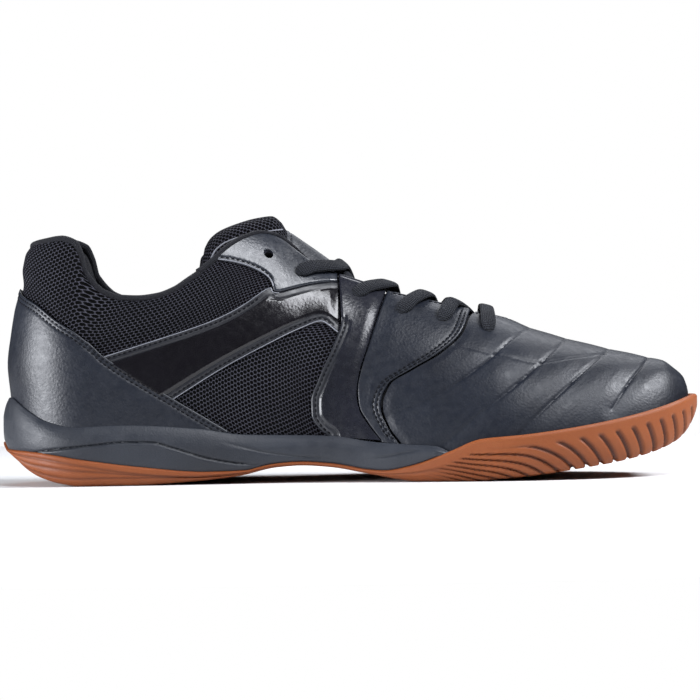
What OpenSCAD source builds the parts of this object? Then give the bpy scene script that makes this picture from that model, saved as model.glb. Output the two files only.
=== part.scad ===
// Low-cut indoor court shoe for the left foot, toe towards +X, standing on z = 0.
// The inner side of the foot is at -Y and the outer side at +Y.
//
// Every piece of the upper is a thin shell on one shape, the skin. The skin is
// read with a position along the shoe and a height fraction, 0 at the lasting
// board and 1 at the ridge over the instep. Each piece holds its own band of
// depths, counted outwards from the inside of the lining.

/* [Size] */
// Length of the foot that the shoe fits
foot_length = 270; // [240:5:300]

/* [Sole] */
// Thickness of the rubber under the foot
rubber_t = 3.2; // [2.6:0.1:4]
// Thickness of the rubber wall around the forefoot
rubber_wall_t = 2.6; // [2:0.1:3]
// Thickness of the midsole's lip around the upper
lip_t = 1; // [0.8:0.1:1.4]
// Thickness of the lasting board
board_t = 1.6; // [1:0.1:2]
// Thickness of the insole foam
insole_t = 4.5; // [3:0.5:5]
// Thickness of the insole's fabric cover
cover_t = 0.8; // [0.5:0.1:1]

/* [Upper] */
// Thickness of the lining
lining_t = 0.7; // [0.5:0.1:0.8]
// Thickness of the stiffeners behind the heel, toe and eyelets
stiffener_t = 0.8; // [0.5:0.1:0.9]
// Thickness of the mesh fabric
mesh_t = 0.6; // [0.4:0.1:0.7]
// Thickness of the leather overlays
overlay_t = 0.9; // [0.6:0.1:1]
// Thickness of the padded vamp
vamp_t = 1.4; // [1:0.1:1.5]
// Diameter of the eyelets
eyelet_d = 4; // [3.4:0.1:4.4]

/* [Collar and tongue] */
// Thickness of the collar padding behind the ankle
collar_pad = 8; // [4:0.5:9]
// Diameter of the rolled collar edge
binding_d = 3.2; // [2.4:0.2:3.6]
// Thickness of the tongue's foam
tongue_pad = 5; // [3:0.5:6]

/* [Lace] */
// Diameter of the lace, rolled round
lace_d = 2.8; // [2:0.1:3]

/* [Hidden] */

grade = foot_length / 270;
MEDIAL = -1;
LATERAL = 1;

// Depth bands of the upper, from the inside out
layer_gap = 0.2;
stiff_in = lining_t + layer_gap;
base_in = stiff_in + stiffener_t + layer_gap;
overlay_in = base_in + mesh_t + 0.3;
overlay_out = overlay_in + overlay_t;
// Depth of the outermost surface that the outlines below are drawn on
skin_d = 3.7;

// The sole's plan: half-oval heel, straight middle and oval toe
heel_x = -108;
heel_reach = 37;
toe_x = 60;
toe_reach = 85;
toe_power = 1.85;
centre_line = [[-108, 0.6], [-80, 1.6], [-60, 3.1], [-40, 4.6], [-20, 5.6], [0, 5.6], [20, 4.1],
    [40, 2.1], [60, -0.4], [80, -2.4], [100, -3.9], [120, -5.4], [145, -7.4]];
half_width = [[-108, 38], [-60, 38.5], [-40, 38.5], [-20, 39.5], [0, 42.5], [20, 46], [40, 48.8],
    [60, 50]];
// From the sole's edge to the inside of the lining
foot_inset = 7.4;

// Side profiles of the sole
bottom_line = [[-145, 16.5], [-141, 12], [-134, 5.8], [-128, 3.1], [-121, 1.3], [-110, 0], [-90, 0],
    [-67, 1.1], [-46, 3.1], [-30, 6.4], [-20, 7], [-8, 6.2], [6, 3.7], [20, 1], [28, 0], [48, 0],
    [61, 0.9], [76, 2.2], [96, 4.6], [114, 7.2], [130, 10.9], [138, 14.2], [142, 17.5], [145, 22]];
rubber_line = [[-143, 15], [-128, 13.8], [-109, 10.7], [-86, 7.5], [-58, 5], [-42, 5.4], [-20, 8],
    [1, 5.8], [14, 4.6], [24, 6.3], [40, 11.9], [53, 16.9], [71, 18.5], [91, 21], [111, 24.4],
    [128, 28.3], [144, 33.2]];
lip_line = [[-142, 36], [-134, 30.7], [-125, 26.3], [-112, 23.8], [-94, 24.4], [-62, 22.5],
    [-44, 19.8], [-8, 18.7], [11, 15.9], [39, 13.9]];
board_line = [[-108, 17.5], [-60, 17], [-20, 14.5], [10, 11.5], [40, 10.5], [80, 12], [110, 16.5],
    [140, 22]];

// Side profiles of the upper
ridge_line = [[-108, 165], [-88, 145], [-60, 122], [-42, 113], [-30, 107.5], [-17, 98], [-8, 93],
    [6, 86.5], [30, 79], [50, 72.8], [66, 67], [77, 62.3], [91, 57.9], [109, 53.2], [124, 49.7],
    [131, 48], [136, 44.5], [139.6, 41], [141.2, 37], [142.2, 33.8]];
back_line = [[17, 31], [24, 32.3], [36, 32.8], [50, 34], [63, 32.4], [82, 29], [91, 27.5],
    [98, 25.8], [104, 23.5]];
roundness = 1.9;
// Collar and throat edge: wall position, height
top_line = [[0, 101], [45, 102.6], [65, 103.4], [80, 101.6], [86, 97], [91, 88], [95, 83],
    [98, 80.6], [105, 78.3], [112, 78], [120, 79], [127, 81.7], [133, 85.8], [139, 90],
    [144, 94], [150, 99], [156, 102.3], [162, 104], [168, 103], [176, 97.7], [184, 91],
    [196, 86.3], [214, 79.5], [229, 75.6], [249, 71.5], [264, 66.8]];
// Rear edge of the vamp along the facing: height fraction, position
vamp_rear = [[0, 22], [0.06, 21.2], [0.15, 16.6], [0.27, 13.8], [0.4, 17], [0.5, 26], [0.633, 38],
    [0.785, 47], [0.96, 52.5], [1, 66]];
// Rear edge of the vamp's lining: height fraction, position
lining_rear = [[0, 14], [0.15, 8], [0.3, 6], [0.45, 9], [0.6, 20], [0.75, 33], [0.9, 44],
    [0.955, 50], [1, 66]];

// Tongue: its crown, its own half-width inset, and its free end by height fraction
tongue_line = [[-61, 92], [-59.5, 97], [-57, 101], [-53, 104], [-46, 106.8], [-38, 109], [-31.5, 109.8],
    [-25.5, 105.4], [-7, 92], [5, 82], [15, 77.2], [27, 72.8], [41, 68.2], [58, 62.6]];
tongue_inset = 5;
// Roundness of its section: [position, power]
tongue_round = [[-45, 2.2], [-20, 1.5]];
tongue_front = 58;
// Free end: [height fraction, position]
tongue_end = [[0.6, -57], [0.75, -60.5], [0.9, -61], [1, -60]];
tongue_wing = 0.64;

// Eyelets from the toe backwards: position, height
eyelets = [[58, 64], [40.5, 67.8], [24, 71], [5.5, 77.5], [-17.5, 86.8]];
spare_eyelet = [-32.5, 94.7];

// Lace end inside the shoe: position, distance from the centre line, height
tail_route = [[-17.5, 14.4, 84], [-19, 16, 79], [-21, 19, 72], [-23, 22.5, 62], [-24, 25.5, 51],
    [-23, 27, 41], [-19, 26, 32], [-11, 23.5, 26.5], [0, 21, 23.2], [12, 19.5, 21.2],
    [25, 18, 20.2], [40, 16, 19.8], [55, 15, 20.2], [70, 16, 21], [84, 17, 22.4]];
aglet_l = 18;
aglet_d = 2.6;

// ---- curves ----

function held(x, low, high) = max(low, min(high, x));
function mix(a, b, f) = a + (b - a) * f;
function ease(x, low, high) = let(f = held((x - low) / (high - low), 0, 1)) f * f * (3 - 2 * f);
function span(p, x, i = 0) = i >= len(p) - 2 || x < p[i + 1][0] ? i : span(p, x, i + 1);
function chord(p, i) = (p[i + 1][1] - p[i][1]) / (p[i + 1][0] - p[i][0]);
function slope(p, i) = i == 0 ? chord(p, 0) : i == len(p) - 1 ? chord(p, i - 1)
    : let(a = chord(p, i - 1), b = chord(p, i)) a * b <= 0 ? 0 : 2 * a * b / (a + b);
// Smooth curve through the points that never overshoots them
function curve(p, at) = let(x = held(at, p[0][0], p[len(p) - 1][0]), i = span(p, x),
    h = p[i + 1][0] - p[i][0], s = (x - p[i][0]) / h)
    p[i][1] * (1 + 2 * s) * (1 - s) * (1 - s) + slope(p, i) * h * s * (1 - s) * (1 - s)
    + p[i + 1][1] * s * s * (3 - 2 * s) - slope(p, i + 1) * h * s * s * (1 - s);
// Point on a polyline of [x, z] points, counted by index
function along(p, s) = let(i = min(floor(s), len(p) - 2)) mix(p[i], p[i + 1], s - i);

function centre(x) = curve(centre_line, x);
bottom = function(x) curve(bottom_line, x);
board = function(x) curve(board_line, x);

// ---- the sole's outline and the solids stacked on it ----

heel_steps = 9;
side_steps = 14;
toe_steps = 9;
half_steps = heel_steps + side_steps + toe_steps;

// Half outline: [position, half width] at a step, moved inwards by inset
function half_outline(i, inset) =
    i < heel_steps ? let(a = 90 * i / heel_steps)
        [heel_x - (heel_reach - inset) * cos(a), (curve(half_width, heel_x) - inset) * sin(a)]
    : i <= heel_steps + side_steps ? let(x = mix(heel_x, toe_x, (i - heel_steps) / side_steps))
        [x, curve(half_width, x) - inset]
    : let(a = 90 * (i - heel_steps - side_steps) / toe_steps)
        [toe_x + (toe_reach - inset) * pow(sin(a), 2 / toe_power),
         i == half_steps ? 0 : (curve(half_width, toe_x) - inset) * pow(cos(a), 2 / toe_power)];
function outline_point(k, inset) = let(i = k <= half_steps ? k : 2 * half_steps - k,
    p = half_outline(i, inset)) [p[0], centre(p[0]) + (k <= half_steps ? MEDIAL : LATERAL) * p[1]];
// A closed ring around the sole; inset and height are functions of position
function ring(inset, height) = [for (k = [0:2 * half_steps - 1])
    let(far = outline_point(k, 0)[0], p = outline_point(k, inset(far))) [p[0], p[1], height(p[0])]];
function level(inset) = function(x) inset;

// Solid through a stack of rings, closed across the first and the last
module stacked(rings) {
    n = 2 * half_steps;
    last = (len(rings) - 1) * n;
    walls = [for (r = [0:len(rings) - 2], k = [0:n - 1]) let(a = r * n + k, b = r * n + (k + 1) % n)
        each [[a, b + n, b], [a, a + n, b + n]]];
    cap = [[0, 1, n - 1], [half_steps - 1, half_steps, half_steps + 1],
        for (k = [1:half_steps - 2]) each [[k, k + 1, n - k - 1], [k, n - k - 1, n - k]]];
    lid = [for (f = cap) [f[2] + last, f[1] + last, f[0] + last]];
    polyhedron([for (r = rings) each r], concat(walls, cap, lid), 10);
}

rubber_top = function(x) max(curve(rubber_line, x), bottom(x) + 1.5);
rubber_floor = function(x) min(bottom(x) + rubber_t, mix(bottom(x), rubber_top(x), 0.75));
function rubber_height(f) = function(x) mix(bottom(x), rubber_top(x), f);

module outsole() color([0.76, 0.44, 0.29]) scale(grade) stacked([
    ring(level(14), bottom),
    ring(level(5), bottom),
    ring(level(1.8), rubber_height(0.2)),
    ring(level(0), rubber_height(0.6)),
    ring(level(0.3), rubber_top),
    ring(level(rubber_wall_t), rubber_top),
    ring(level(rubber_wall_t + 0.3), rubber_floor),
    ring(level(14), function(x) bottom(x) + rubber_t)]);

// 0 where the midsole's side shows, 1 where the rubber wall hides it
function hidden(x) = ease(x, 34, 46);
function midsole_height(open, closed) = function(x) mix(open(x), mix(rubber_floor(x) + 0.3, board(x), closed),
    hidden(x));
function midsole_inset(open, closed) = function(x) mix(open, closed, hidden(x));

module midsole() color([0.2, 0.22, 0.25]) scale(grade) stacked([
    ring(level(14), function(x) bottom(x) + rubber_t + 0.3),
    ring(level(rubber_wall_t + 0.9), function(x) rubber_floor(x) + 0.3),
    ring(level(rubber_wall_t + 0.7), midsole_height(function(x) rubber_top(x) + 0.3, 0.3)),
    ring(midsole_inset(0.6, rubber_wall_t + 0.7), midsole_height(function(x) rubber_top(x) + 0.4, 0.45)),
    ring(midsole_inset(0, rubber_wall_t + 0.7),
        midsole_height(function(x) mix(rubber_top(x), curve(lip_line, x), 0.55), 0.65)),
    ring(midsole_inset(2.4, rubber_wall_t + 0.7), midsole_height(function(x) curve(lip_line, x), 0.9)),
    ring(midsole_inset(2.4 + lip_t, rubber_wall_t + 1.2), midsole_height(function(x) curve(lip_line, x), 0.96)),
    ring(midsole_inset(2.7 + lip_t, rubber_wall_t + 2), board),
    ring(level(14), board)]);

module plate(inset, rise, thickness) stacked([
    ring(level(inset), function(x) board(x) + rise),
    ring(level(inset), function(x) board(x) + rise + thickness)]);

insole_rise = board_t + 0.6;
module lasting_board() color([0.85, 0.82, 0.74]) scale(grade) plate(foot_inset + 0.6, 0.3, board_t);
module insole() color([0.28, 0.3, 0.33]) scale(grade) plate(foot_inset + 2.4, insole_rise, insole_t);
module insole_cover() color([0.1, 0.1, 0.12]) scale(grade)
    plate(foot_inset + 2.6, insole_rise + insole_t + 0.1, cover_t);

// ---- the skin of the upper ----

// Wall position: 0 at the back of the heel, 90 where the side begins, then 1 per millimetre;
// negative on the medial side
function wall_of(x) = 90 + x - heel_x;
function x_of(w) = heel_x + abs(w) - 90;
function toe_share(x, d) = held((x - toe_x) / (toe_reach - foot_inset + d), 0, 1);
function ridge(x, d) = curve(ridge_line,
    x <= toe_x ? x : toe_x + (toe_reach - foot_inset + skin_d) * toe_share(x, d)) + d - skin_d;
function wall_half(x, d) = x <= toe_x ? curve(half_width, x) - foot_inset + d
    : (curve(half_width, toe_x) - foot_inset + d)
        * pow(max(0, 1 - pow(toe_share(x, d), toe_power)), 1 / toe_power);
function rounding(t, power) = pow(max(0, 1 - pow(held(t, 0, 1), power)), 1 / power);
// Height fraction of a height on the outermost surface
function fraction(w, z) = let(x = max(heel_x, x_of(w))) (z - board(x)) / (ridge(x, skin_d) - board(x));
// Point of the skin at a wall position, height fraction and depth
function skin(w, t, d) = let(x = max(heel_x, x_of(w)), z = mix(board(x), ridge(x, d), t),
    y = wall_half(x, d) * rounding(t, roundness), side = w < 0 ? MEDIAL : LATERAL)
    abs(w) >= 90 ? [x, centre(x) + side * y, z]
    : [heel_x - (curve(back_line, z) + d - skin_d) * cos(w), centre(x) + y * sin(w), z];

// Shell over a grid of [wall position, height fraction]; inner and outer depth are functions of both
module shell(grid, inner, outer) {
    n = len(grid) - 1;
    m = len(grid[0]) - 1;
    count = (n + 1) * (m + 1);
    function id(i, j, face) = face * count + i * (m + 1) + j;
    points = [for (depth = [outer, inner], row = grid, g = row) skin(g[0], g[1], depth(g[0], g[1]))];
    quads = [
        for (i = [0:n - 1], j = [0:m - 1]) each [
            [id(i, j, 0), id(i, j + 1, 0), id(i + 1, j + 1, 0), id(i + 1, j, 0)],
            [id(i, j, 1), id(i + 1, j, 1), id(i + 1, j + 1, 1), id(i, j + 1, 1)]],
        for (i = [0:n - 1]) each [
            [id(i, 0, 0), id(i + 1, 0, 0), id(i + 1, 0, 1), id(i, 0, 1)],
            [id(i, m, 0), id(i, m, 1), id(i + 1, m, 1), id(i + 1, m, 0)]],
        for (j = [0:m - 1]) each [
            [id(0, j, 0), id(0, j, 1), id(0, j + 1, 1), id(0, j + 1, 0)],
            [id(n, j, 0), id(n, j + 1, 0), id(n, j + 1, 1), id(n, j, 1)]]];
    turned = grid[0][0][0] < grid[n][0][0];
    polyhedron(points, [for (q = quads) each turned ? [[q[2], q[1], q[0]], [q[3], q[2], q[0]]]
        : [[q[0], q[1], q[2]], [q[0], q[2], q[3]]]], 10);
}
function depth(d) = function(w, t) d;

// Grid on one side between two outlines of [x, z] points that run towards the toe or up
function to_skin(p, side) = let(w = side * wall_of(p[0])) [w, fraction(w, p[1])];
function lengthwise(low, high, n, m, side) = [for (i = [0:n]) [for (j = [0:m])
    let(s = i * (len(low) - 1) / n) to_skin(mix(along(low, s), along(high, s), j / m), side)]];
function upwards(rear, front, n, m, side) = [for (i = [0:n]) [for (j = [0:m])
    let(s = j * (len(rear) - 1) / m) to_skin(mix(along(rear, s), along(front, s), i / n), side)]];
// Grid between a low and a high height, both functions of the wall position
function band(from, to, n, m, low, high) = [for (i = [0:n]) let(w = mix(from, to, i / n))
    [for (j = [0:m]) [w, fraction(w, mix(low(abs(w)), high(abs(w)), j / m))]]];

module at_eyelet(p, side) {
    w = side * wall_of(p[0]);
    t = fraction(w, p[1]);
    from = skin(w, t, -3);
    to = skin(w, t, 7);
    aim = to - from;
    translate(from) rotate([0, acos(aim[2] / norm(aim)), atan2(aim[1], aim[0])])
        cylinder(d = eyelet_d, h = norm(aim), $fn = 12);
}
// A piece with its eyelets punched; resize keeps the punched mesh as it is
module punched(holes, side) resize([0, 0, 0]) difference() {
    children();
    for (p = holes) at_eyelet(p, side);
}

leather = [0.24, 0.26, 0.3];
gloss = [0.13, 0.12, 0.14];
fabric = [0.06, 0.06, 0.07];

// ---- vamp, its lining and the toe puff: around the toe and over the ridge ----

module toe_shell(rear, inner, outer, low, around, up) {
    half = around / 2;
    count = (around + 1) * (up + 1);
    tip = toe_x + toe_reach - foot_inset;
    function id(k, j, face) = face * count + (j == up && k > half ? around - k : k) * (up + 1) + j;
    function place(k, j, d) = let(t = mix(low, 1, sin(90 * j / up)), side = k < half ? MEDIAL : LATERAL,
        s = sin(90 * (1 - abs(k - half) / half)), x = mix(curve(rear, t), tip + d, s))
        skin(side * wall_of(x), j == up ? 1 : t, d);
    points = [for (d = [outer, inner], k = [0:around], j = [0:up]) place(k, j, d)];
    quads = [
        for (k = [0:around - 1], j = [0:up - 1]) each [
            [id(k, j, 0), id(k, j + 1, 0), id(k + 1, j + 1, 0), id(k + 1, j, 0)],
            [id(k, j, 1), id(k + 1, j, 1), id(k + 1, j + 1, 1), id(k, j + 1, 1)]],
        for (k = [0:around - 1]) [id(k, 0, 0), id(k + 1, 0, 0), id(k + 1, 0, 1), id(k, 0, 1)],
        for (j = [0:up - 1]) each [
            [id(0, j, 0), id(0, j, 1), id(0, j + 1, 1), id(0, j + 1, 0)],
            [id(around, j, 0), id(around, j + 1, 0), id(around, j + 1, 1), id(around, j, 1)]]];
    polyhedron(points, [for (q = quads) each [[q[0], q[1], q[2]], [q[0], q[2], q[3]]]], 10);
}

module vamp() color(leather) scale(grade) resize([0, 0, 0]) difference() {
    toe_shell(vamp_rear, base_in, base_in + vamp_t, 0.01, 36, 9);
    for (side = [MEDIAL, LATERAL]) at_eyelet(eyelets[0], side);
}
module vamp_lining() color(fabric) scale(grade) resize([0, 0, 0]) difference() {
    toe_shell(lining_rear, 0, lining_t, 0.01, 30, 8);
    for (side = [MEDIAL, LATERAL]) at_eyelet(eyelets[0], side);
}
module toe_puff() color([0.8, 0.78, 0.7]) scale(grade)
    toe_shell([[0, 104], [1, 112]], stiff_in, stiff_in + stiffener_t, 0.05, 20, 7);

// ---- quarters, counter and collar ----

function quarter_grid(n, m, drop, low, side) = [for (i = [0:n]) [for (j = [0:m])
    let(f = j / m, front = wall_of(curve(lining_rear, 0.95 * f)) - 1.5,
        w = side * mix(2, front, i / n), top = fraction(w, curve(top_line, abs(w)) - drop))
    [w, sin(mix(asin(low), asin(top), f))]]];
// Height below the collar edge as a share of the padding's height
pad_h = 27;
function pad_share(w, t) = let(x = max(heel_x, x_of(w)),
    z = mix(board(x), ridge(x, skin_d), t)) (curve(top_line, abs(w)) - z) / pad_h;
function pad_at(w, t) = let(v = held(pad_share(w, t), 0, 1))
    collar_pad * mix(1, 0.45, ease(abs(w), 60, 137)) * (1 - ease(abs(w), 132, 150))
    * pow(sin(180 * pow(v, 0.75)), 0.8);

module quarter_mesh(side) color(fabric) scale(grade) punched([eyelets[2], eyelets[3], eyelets[4], spare_eyelet], side)
    shell(quarter_grid(26, 7, 2, 0.01, side), depth(base_in), depth(base_in + mesh_t));
module quarter_lining(side) color(fabric * 1.4) scale(grade)
    punched([eyelets[1], eyelets[2], eyelets[3], eyelets[4], spare_eyelet], side)
    shell(quarter_grid(28, 10, 2.4, 0.03, side), function(w, t) -pad_at(w, t),
        function(w, t) lining_t - pad_at(w, t));
module quarter_mesh_medial() quarter_mesh(MEDIAL);
module quarter_mesh_lateral() quarter_mesh(LATERAL);
module quarter_lining_medial() quarter_lining(MEDIAL);
module quarter_lining_lateral() quarter_lining(LATERAL);

counter_top = [[0, 66], [60, 64], [96, 50]];
module heel_counter() color([0.85, 0.82, 0.74]) scale(grade)
    shell(band(-96, 96, 24, 4, function(w) 20, function(w) curve(counter_top, w)),
        depth(stiff_in), depth(stiff_in + stiffener_t));

overlay_top = [[0, 82], [45, 75.5], [70, 67.5], [90, 60], [98, 53], [126, 35.3], [148, 21.8]];
module heel_overlay() color(leather) scale(grade)
    shell(band(-148, 148, 40, 4, function(w) 18.6, function(w) curve(overlay_top, w)),
        depth(overlay_in), depth(overlay_out));

module collar_foam() color([0.5, 0.5, 0.52]) scale(grade)
    shell(band(-136, 136, 44, 6, function(w) curve(top_line, w) - pad_h, function(w) curve(top_line, w) - 3),
        function(w, t) stiff_in - pad_at(w, t), depth(stiff_in + stiffener_t));

// Tube of even thickness along points, with round rings
module tube(path, d, sides) {
    n = len(path) - 1;
    function tangent(i) = let(v = path[min(i + 1, n)] - path[max(i - 1, 0)]) v / norm(v);
    function aside(i, before) = let(t = tangent(i), v = before - t * (before * t)) v / norm(v);
    function frames(i, before) = i > n ? [] : let(u = aside(i, before)) concat([u], frames(i + 1, u));
    start = abs(tangent(0)[2]) < 0.8 ? [0, 0, 1] : [1, 0, 0];
    across = frames(0, start);
    points = [for (i = [0:n]) let(u = across[i], v = cross(tangent(i), u))
        for (k = [0:sides - 1]) path[i] + d / 2 * (u * cos(360 * k / sides) + v * sin(360 * k / sides))];
    polyhedron(points, concat(
        [[for (k = [0:sides - 1]) k]],
        [[for (k = [sides - 1:-1:0]) n * sides + k]],
        [for (i = [0:n - 1], k = [0:sides - 1]) let(a = i * sides + k, b = i * sides + (k + 1) % sides)
            each [[a, a + sides, b + sides], [a, b + sides, b]]]), 10);
}

module collar_binding() color(fabric) scale(grade) tube([for (w = [-137:5.48:137.1])
    skin(w, fraction(w, curve(top_line, abs(w)) - 0.4), 1.5)], binding_d, 8);

// ---- leather overlays on each side ----

strap_low = [[-71, 35.3], [-52.7, 46.7], [-33.7, 56.7], [-15, 65.8], [-4, 69]];
strap_high = [[-99.5, 53.4], [-76, 60.5], [-52.4, 68.2], [-31, 76.6], [-4, 83]];
saddle_rear = [[-8, 18.8], [-12, 21.7], [-15.5, 27.5], [-15.6, 33.4], [-12.4, 42.3], [-5.7, 57.2],
    [-2.7, 66], [-3, 76], [-3.4, 85.6]];
saddle_front = [[12.5, 17], [7.5, 23.5], [3.8, 30], [3, 36], [4.2, 44.5], [7.5, 54.5], [10.4, 63.6],
    [13.3, 72], [16, 79]];
facing_rear = [[12.9, 16.4], [7.6, 24], [3.8, 31.5], [3.4, 39], [5.4, 47.5], [8.6, 57], [12, 67],
    [16.6, 78.9]];
facing_front = [[20.4, 15.2], [15.5, 22.2], [12.6, 31], [15.8, 40], [24.8, 45.8], [36.8, 52.6],
    [45.9, 60.4], [51, 70.6]];
eyestay_low = [[-53, 92.6], [-47, 91.6], [-41, 90], [-35, 87.4], [-31, 78.5], [-24, 79.8],
    [-14, 82.2], [-4.2, 83.6]];
eyestay_high = [[-54, 93.6], [-49, 98], [-42, 102], [-36, 103.6], [-30, 102.6], [-23, 98.2],
    [-15, 92], [-4.2, 87]];
backing_low = [[-50, 92], [-34, 88], [-17, 80], [2, 71], [24, 65], [44, 62]];
backing_high = [[-50, 95.4], [-34, 101], [-17, 91], [2, 82.4], [24, 75.2], [44, 70.8]];

module overlay(low, high, n, m, side, holes, lying = true) scale(grade) punched(holes, side)
    shell(lying ? lengthwise(low, high, n, m, side) : upwards(low, high, n, m, side),
        depth(overlay_in), depth(overlay_out));
module strap(side) color(gloss) overlay(strap_low, strap_high, 20, 4, side, []);
module saddle(side) color(gloss * 1.4) overlay(saddle_rear, saddle_front, 4, 24, side, [eyelets[3]], false);
module facing(side) color(leather) overlay(facing_rear, facing_front, 6, 21, side, [eyelets[1], eyelets[2]],
    false);
module eyestay(side) color(leather) overlay(eyestay_low, eyestay_high, 21, 4, side,
    [eyelets[4], spare_eyelet]);
module eyelet_backing(side) color([0.8, 0.78, 0.7]) scale(grade)
    punched([eyelets[1], eyelets[2], eyelets[3], eyelets[4], spare_eyelet], side)
    shell(lengthwise(backing_low, backing_high, 20, 4, side), depth(stiff_in), depth(stiff_in + stiffener_t));
module strap_medial() strap(MEDIAL);
module strap_lateral() strap(LATERAL);
module saddle_medial() saddle(MEDIAL);
module saddle_lateral() saddle(LATERAL);
module facing_medial() facing(MEDIAL);
module facing_lateral() facing(LATERAL);
module eyestay_medial() eyestay(MEDIAL);
module eyestay_lateral() eyestay(LATERAL);
module eyelet_backing_medial() eyelet_backing(MEDIAL);
module eyelet_backing_lateral() eyelet_backing(LATERAL);

// ---- tongue ----

function tongue_point(x, t, side, d) = [x,
    centre(x) + side * (wall_half(x, 0) - tongue_inset + d) * rounding(t, curve(tongue_round, x)),
    mix(board(x), curve(tongue_line, x) + d, t)];
// Layer of the tongue between two depths below its face; steps across run from wing to wing
module tongue_layer(inner, outer, trim) {
    n = 14;
    half = 6;
    m = 2 * half;
    count = (n + 1) * (m + 1);
    function id(i, j, face) = face * count + i * (m + 1) + j;
    function place(i, j, d) = let(t = mix(tongue_wing, 1, sin(90 * (1 - abs(j - half) / half))),
        x = mix(curve(tongue_end, t) + trim, tongue_front, i / n))
        tongue_point(x, t, j < half ? MEDIAL : LATERAL, d);
    quads = [
        for (i = [0:n - 1], j = [0:m - 1]) each [
            [id(i, j, 0), id(i, j + 1, 0), id(i + 1, j + 1, 0), id(i + 1, j, 0)],
            [id(i, j, 1), id(i + 1, j, 1), id(i + 1, j + 1, 1), id(i, j + 1, 1)]],
        for (i = [0:n - 1]) each [
            [id(i, 0, 0), id(i + 1, 0, 0), id(i + 1, 0, 1), id(i, 0, 1)],
            [id(i, m, 0), id(i, m, 1), id(i + 1, m, 1), id(i + 1, m, 0)]],
        for (j = [0:m - 1]) each [
            [id(0, j, 0), id(0, j, 1), id(0, j + 1, 1), id(0, j + 1, 0)],
            [id(n, j, 0), id(n, j + 1, 0), id(n, j + 1, 1), id(n, j, 1)]]];
    polyhedron([for (d = [outer, inner], i = [0:n], j = [0:m]) place(i, j, d)],
        [for (q = quads) each [[q[0], q[1], q[2]], [q[0], q[2], q[3]]]], 10);
}
tongue_face_t = 1;
tongue_foam_in = -tongue_face_t - 0.2 - tongue_pad;
module tongue_face() color(leather) scale(grade) tongue_layer(-tongue_face_t, 0, 0);
module tongue_foam() color([0.5, 0.5, 0.52]) scale(grade)
    tongue_layer(tongue_foam_in, -tongue_face_t - 0.2, 0.5);
module tongue_lining() color(fabric) scale(grade)
    tongue_layer(tongue_foam_in - 0.2 - lining_t, tongue_foam_in - 0.2, 0);

// ---- lace ----

lace_under = -1.9;
lace_over = overlay_out + lace_d / 2 + 0.2;
function at_row(k, side, d) = let(w = side * wall_of(eyelets[k][0])) skin(w, fraction(w, eyelets[k][1]), d);
// Point at the throat edge beside a row, shifted along the shoe
function at_edge(k, side, shift, d) = let(x = eyelets[k][0] + shift) skin(side * wall_of(x), 0.965, d);
function over_tongue(x, lift) = [x, centre(x), curve(tongue_line, x) + 1 + lace_d / 2 + lift];
// Lace from inside an eyelet, across the tongue, over the far edge and into the next eyelet
function crossing(k, side) = let(x = (eyelets[k][0] + eyelets[k + 1][0]) / 2,
    lift = side == MEDIAL ? 0 : lace_d + 0.2) [
    at_row(k, side, lace_under), at_edge(k, side, -4, lace_under + 0.4),
    over_tongue(x, lift), at_edge(k + 1, -side, 3, lace_over),
    at_row(k + 1, -side, lace_over), at_row(k + 1, -side, mix(lace_under, lace_over, 0.5))];
function run_back(k, side) = k == 4 ? [at_row(4, side, lace_under)]
    : concat(crossing(k, side), run_back(k + 1, -side));
function reversed(p) = [for (i = [len(p) - 1:-1:0]) p[i]];
// Smooth path with a few steps between each pair of points
function eased(p, steps) = let(n = len(p) - 1) [for (i = [0:n - 1], s = [0:steps - 1])
    let(f = s / steps, a = p[max(i - 1, 0)], b = p[i], c = p[i + 1], e = p[min(i + 2, n)])
    b + 0.5 * f * (c - a + f * (2 * a - 5 * b + 4 * c - e + f * (3 * b - a - 3 * c + e))), p[n]];

module lace() color([0.05, 0.05, 0.06]) scale(grade) {
    row_bar = [for (side = [MEDIAL, LATERAL]) at_row(0, side, lace_over)];
    bar = [at_row(0, MEDIAL, 0.9), row_bar[0], at_edge(0, MEDIAL, 0, lace_over),
        skin(wall_of(eyelets[0][0]), 1, lace_over), at_edge(0, LATERAL, 0, lace_over), row_bar[1],
        at_row(0, LATERAL, 0.9)];
    tube(eased(concat(reversed(run_back(0, MEDIAL)), bar, run_back(0, LATERAL)), 1), lace_d, 8);
}

function tail_points(side) = [for (p = tail_route) [p[0], centre(p[0]) + side * p[1], p[2]]];
module lace_tail(side) color([0.05, 0.05, 0.06]) scale(grade) tube(tail_points(side), lace_d, 8);
module lace_tail_medial() lace_tail(MEDIAL);
module lace_tail_lateral() lace_tail(LATERAL);
module aglet(side) color([0.03, 0.03, 0.03]) scale(grade) {
    path = tail_points(side);
    end = path[len(path) - 1];
    aim = (end - path[len(path) - 2]) / norm(end - path[len(path) - 2]);
    translate(end + aim * 0.05) rotate([0, acos(aim[2]), atan2(aim[1], aim[0])])
        cylinder(d = aglet_d, h = aglet_l, $fn = 24);
}
module aglet_medial() aglet(MEDIAL);
module aglet_lateral() aglet(LATERAL);

outsole();
midsole();
lasting_board();
insole();
insole_cover();
vamp();
vamp_lining();
toe_puff();
quarter_mesh_medial();
quarter_mesh_lateral();
quarter_lining_medial();
quarter_lining_lateral();
heel_counter();
heel_overlay();
collar_foam();
collar_binding();
strap_medial();
strap_lateral();
saddle_medial();
saddle_lateral();
eyestay_medial();
eyestay_lateral();
facing_medial();
facing_lateral();
eyelet_backing_medial();
eyelet_backing_lateral();
tongue_face();
tongue_foam();
tongue_lining();
lace();
lace_tail_medial();
lace_tail_lateral();
aglet_medial();
aglet_lateral();
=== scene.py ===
"""Looks of the court shoe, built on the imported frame: leather, mesh, gum rubber, lace and stitching."""
import math

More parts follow.
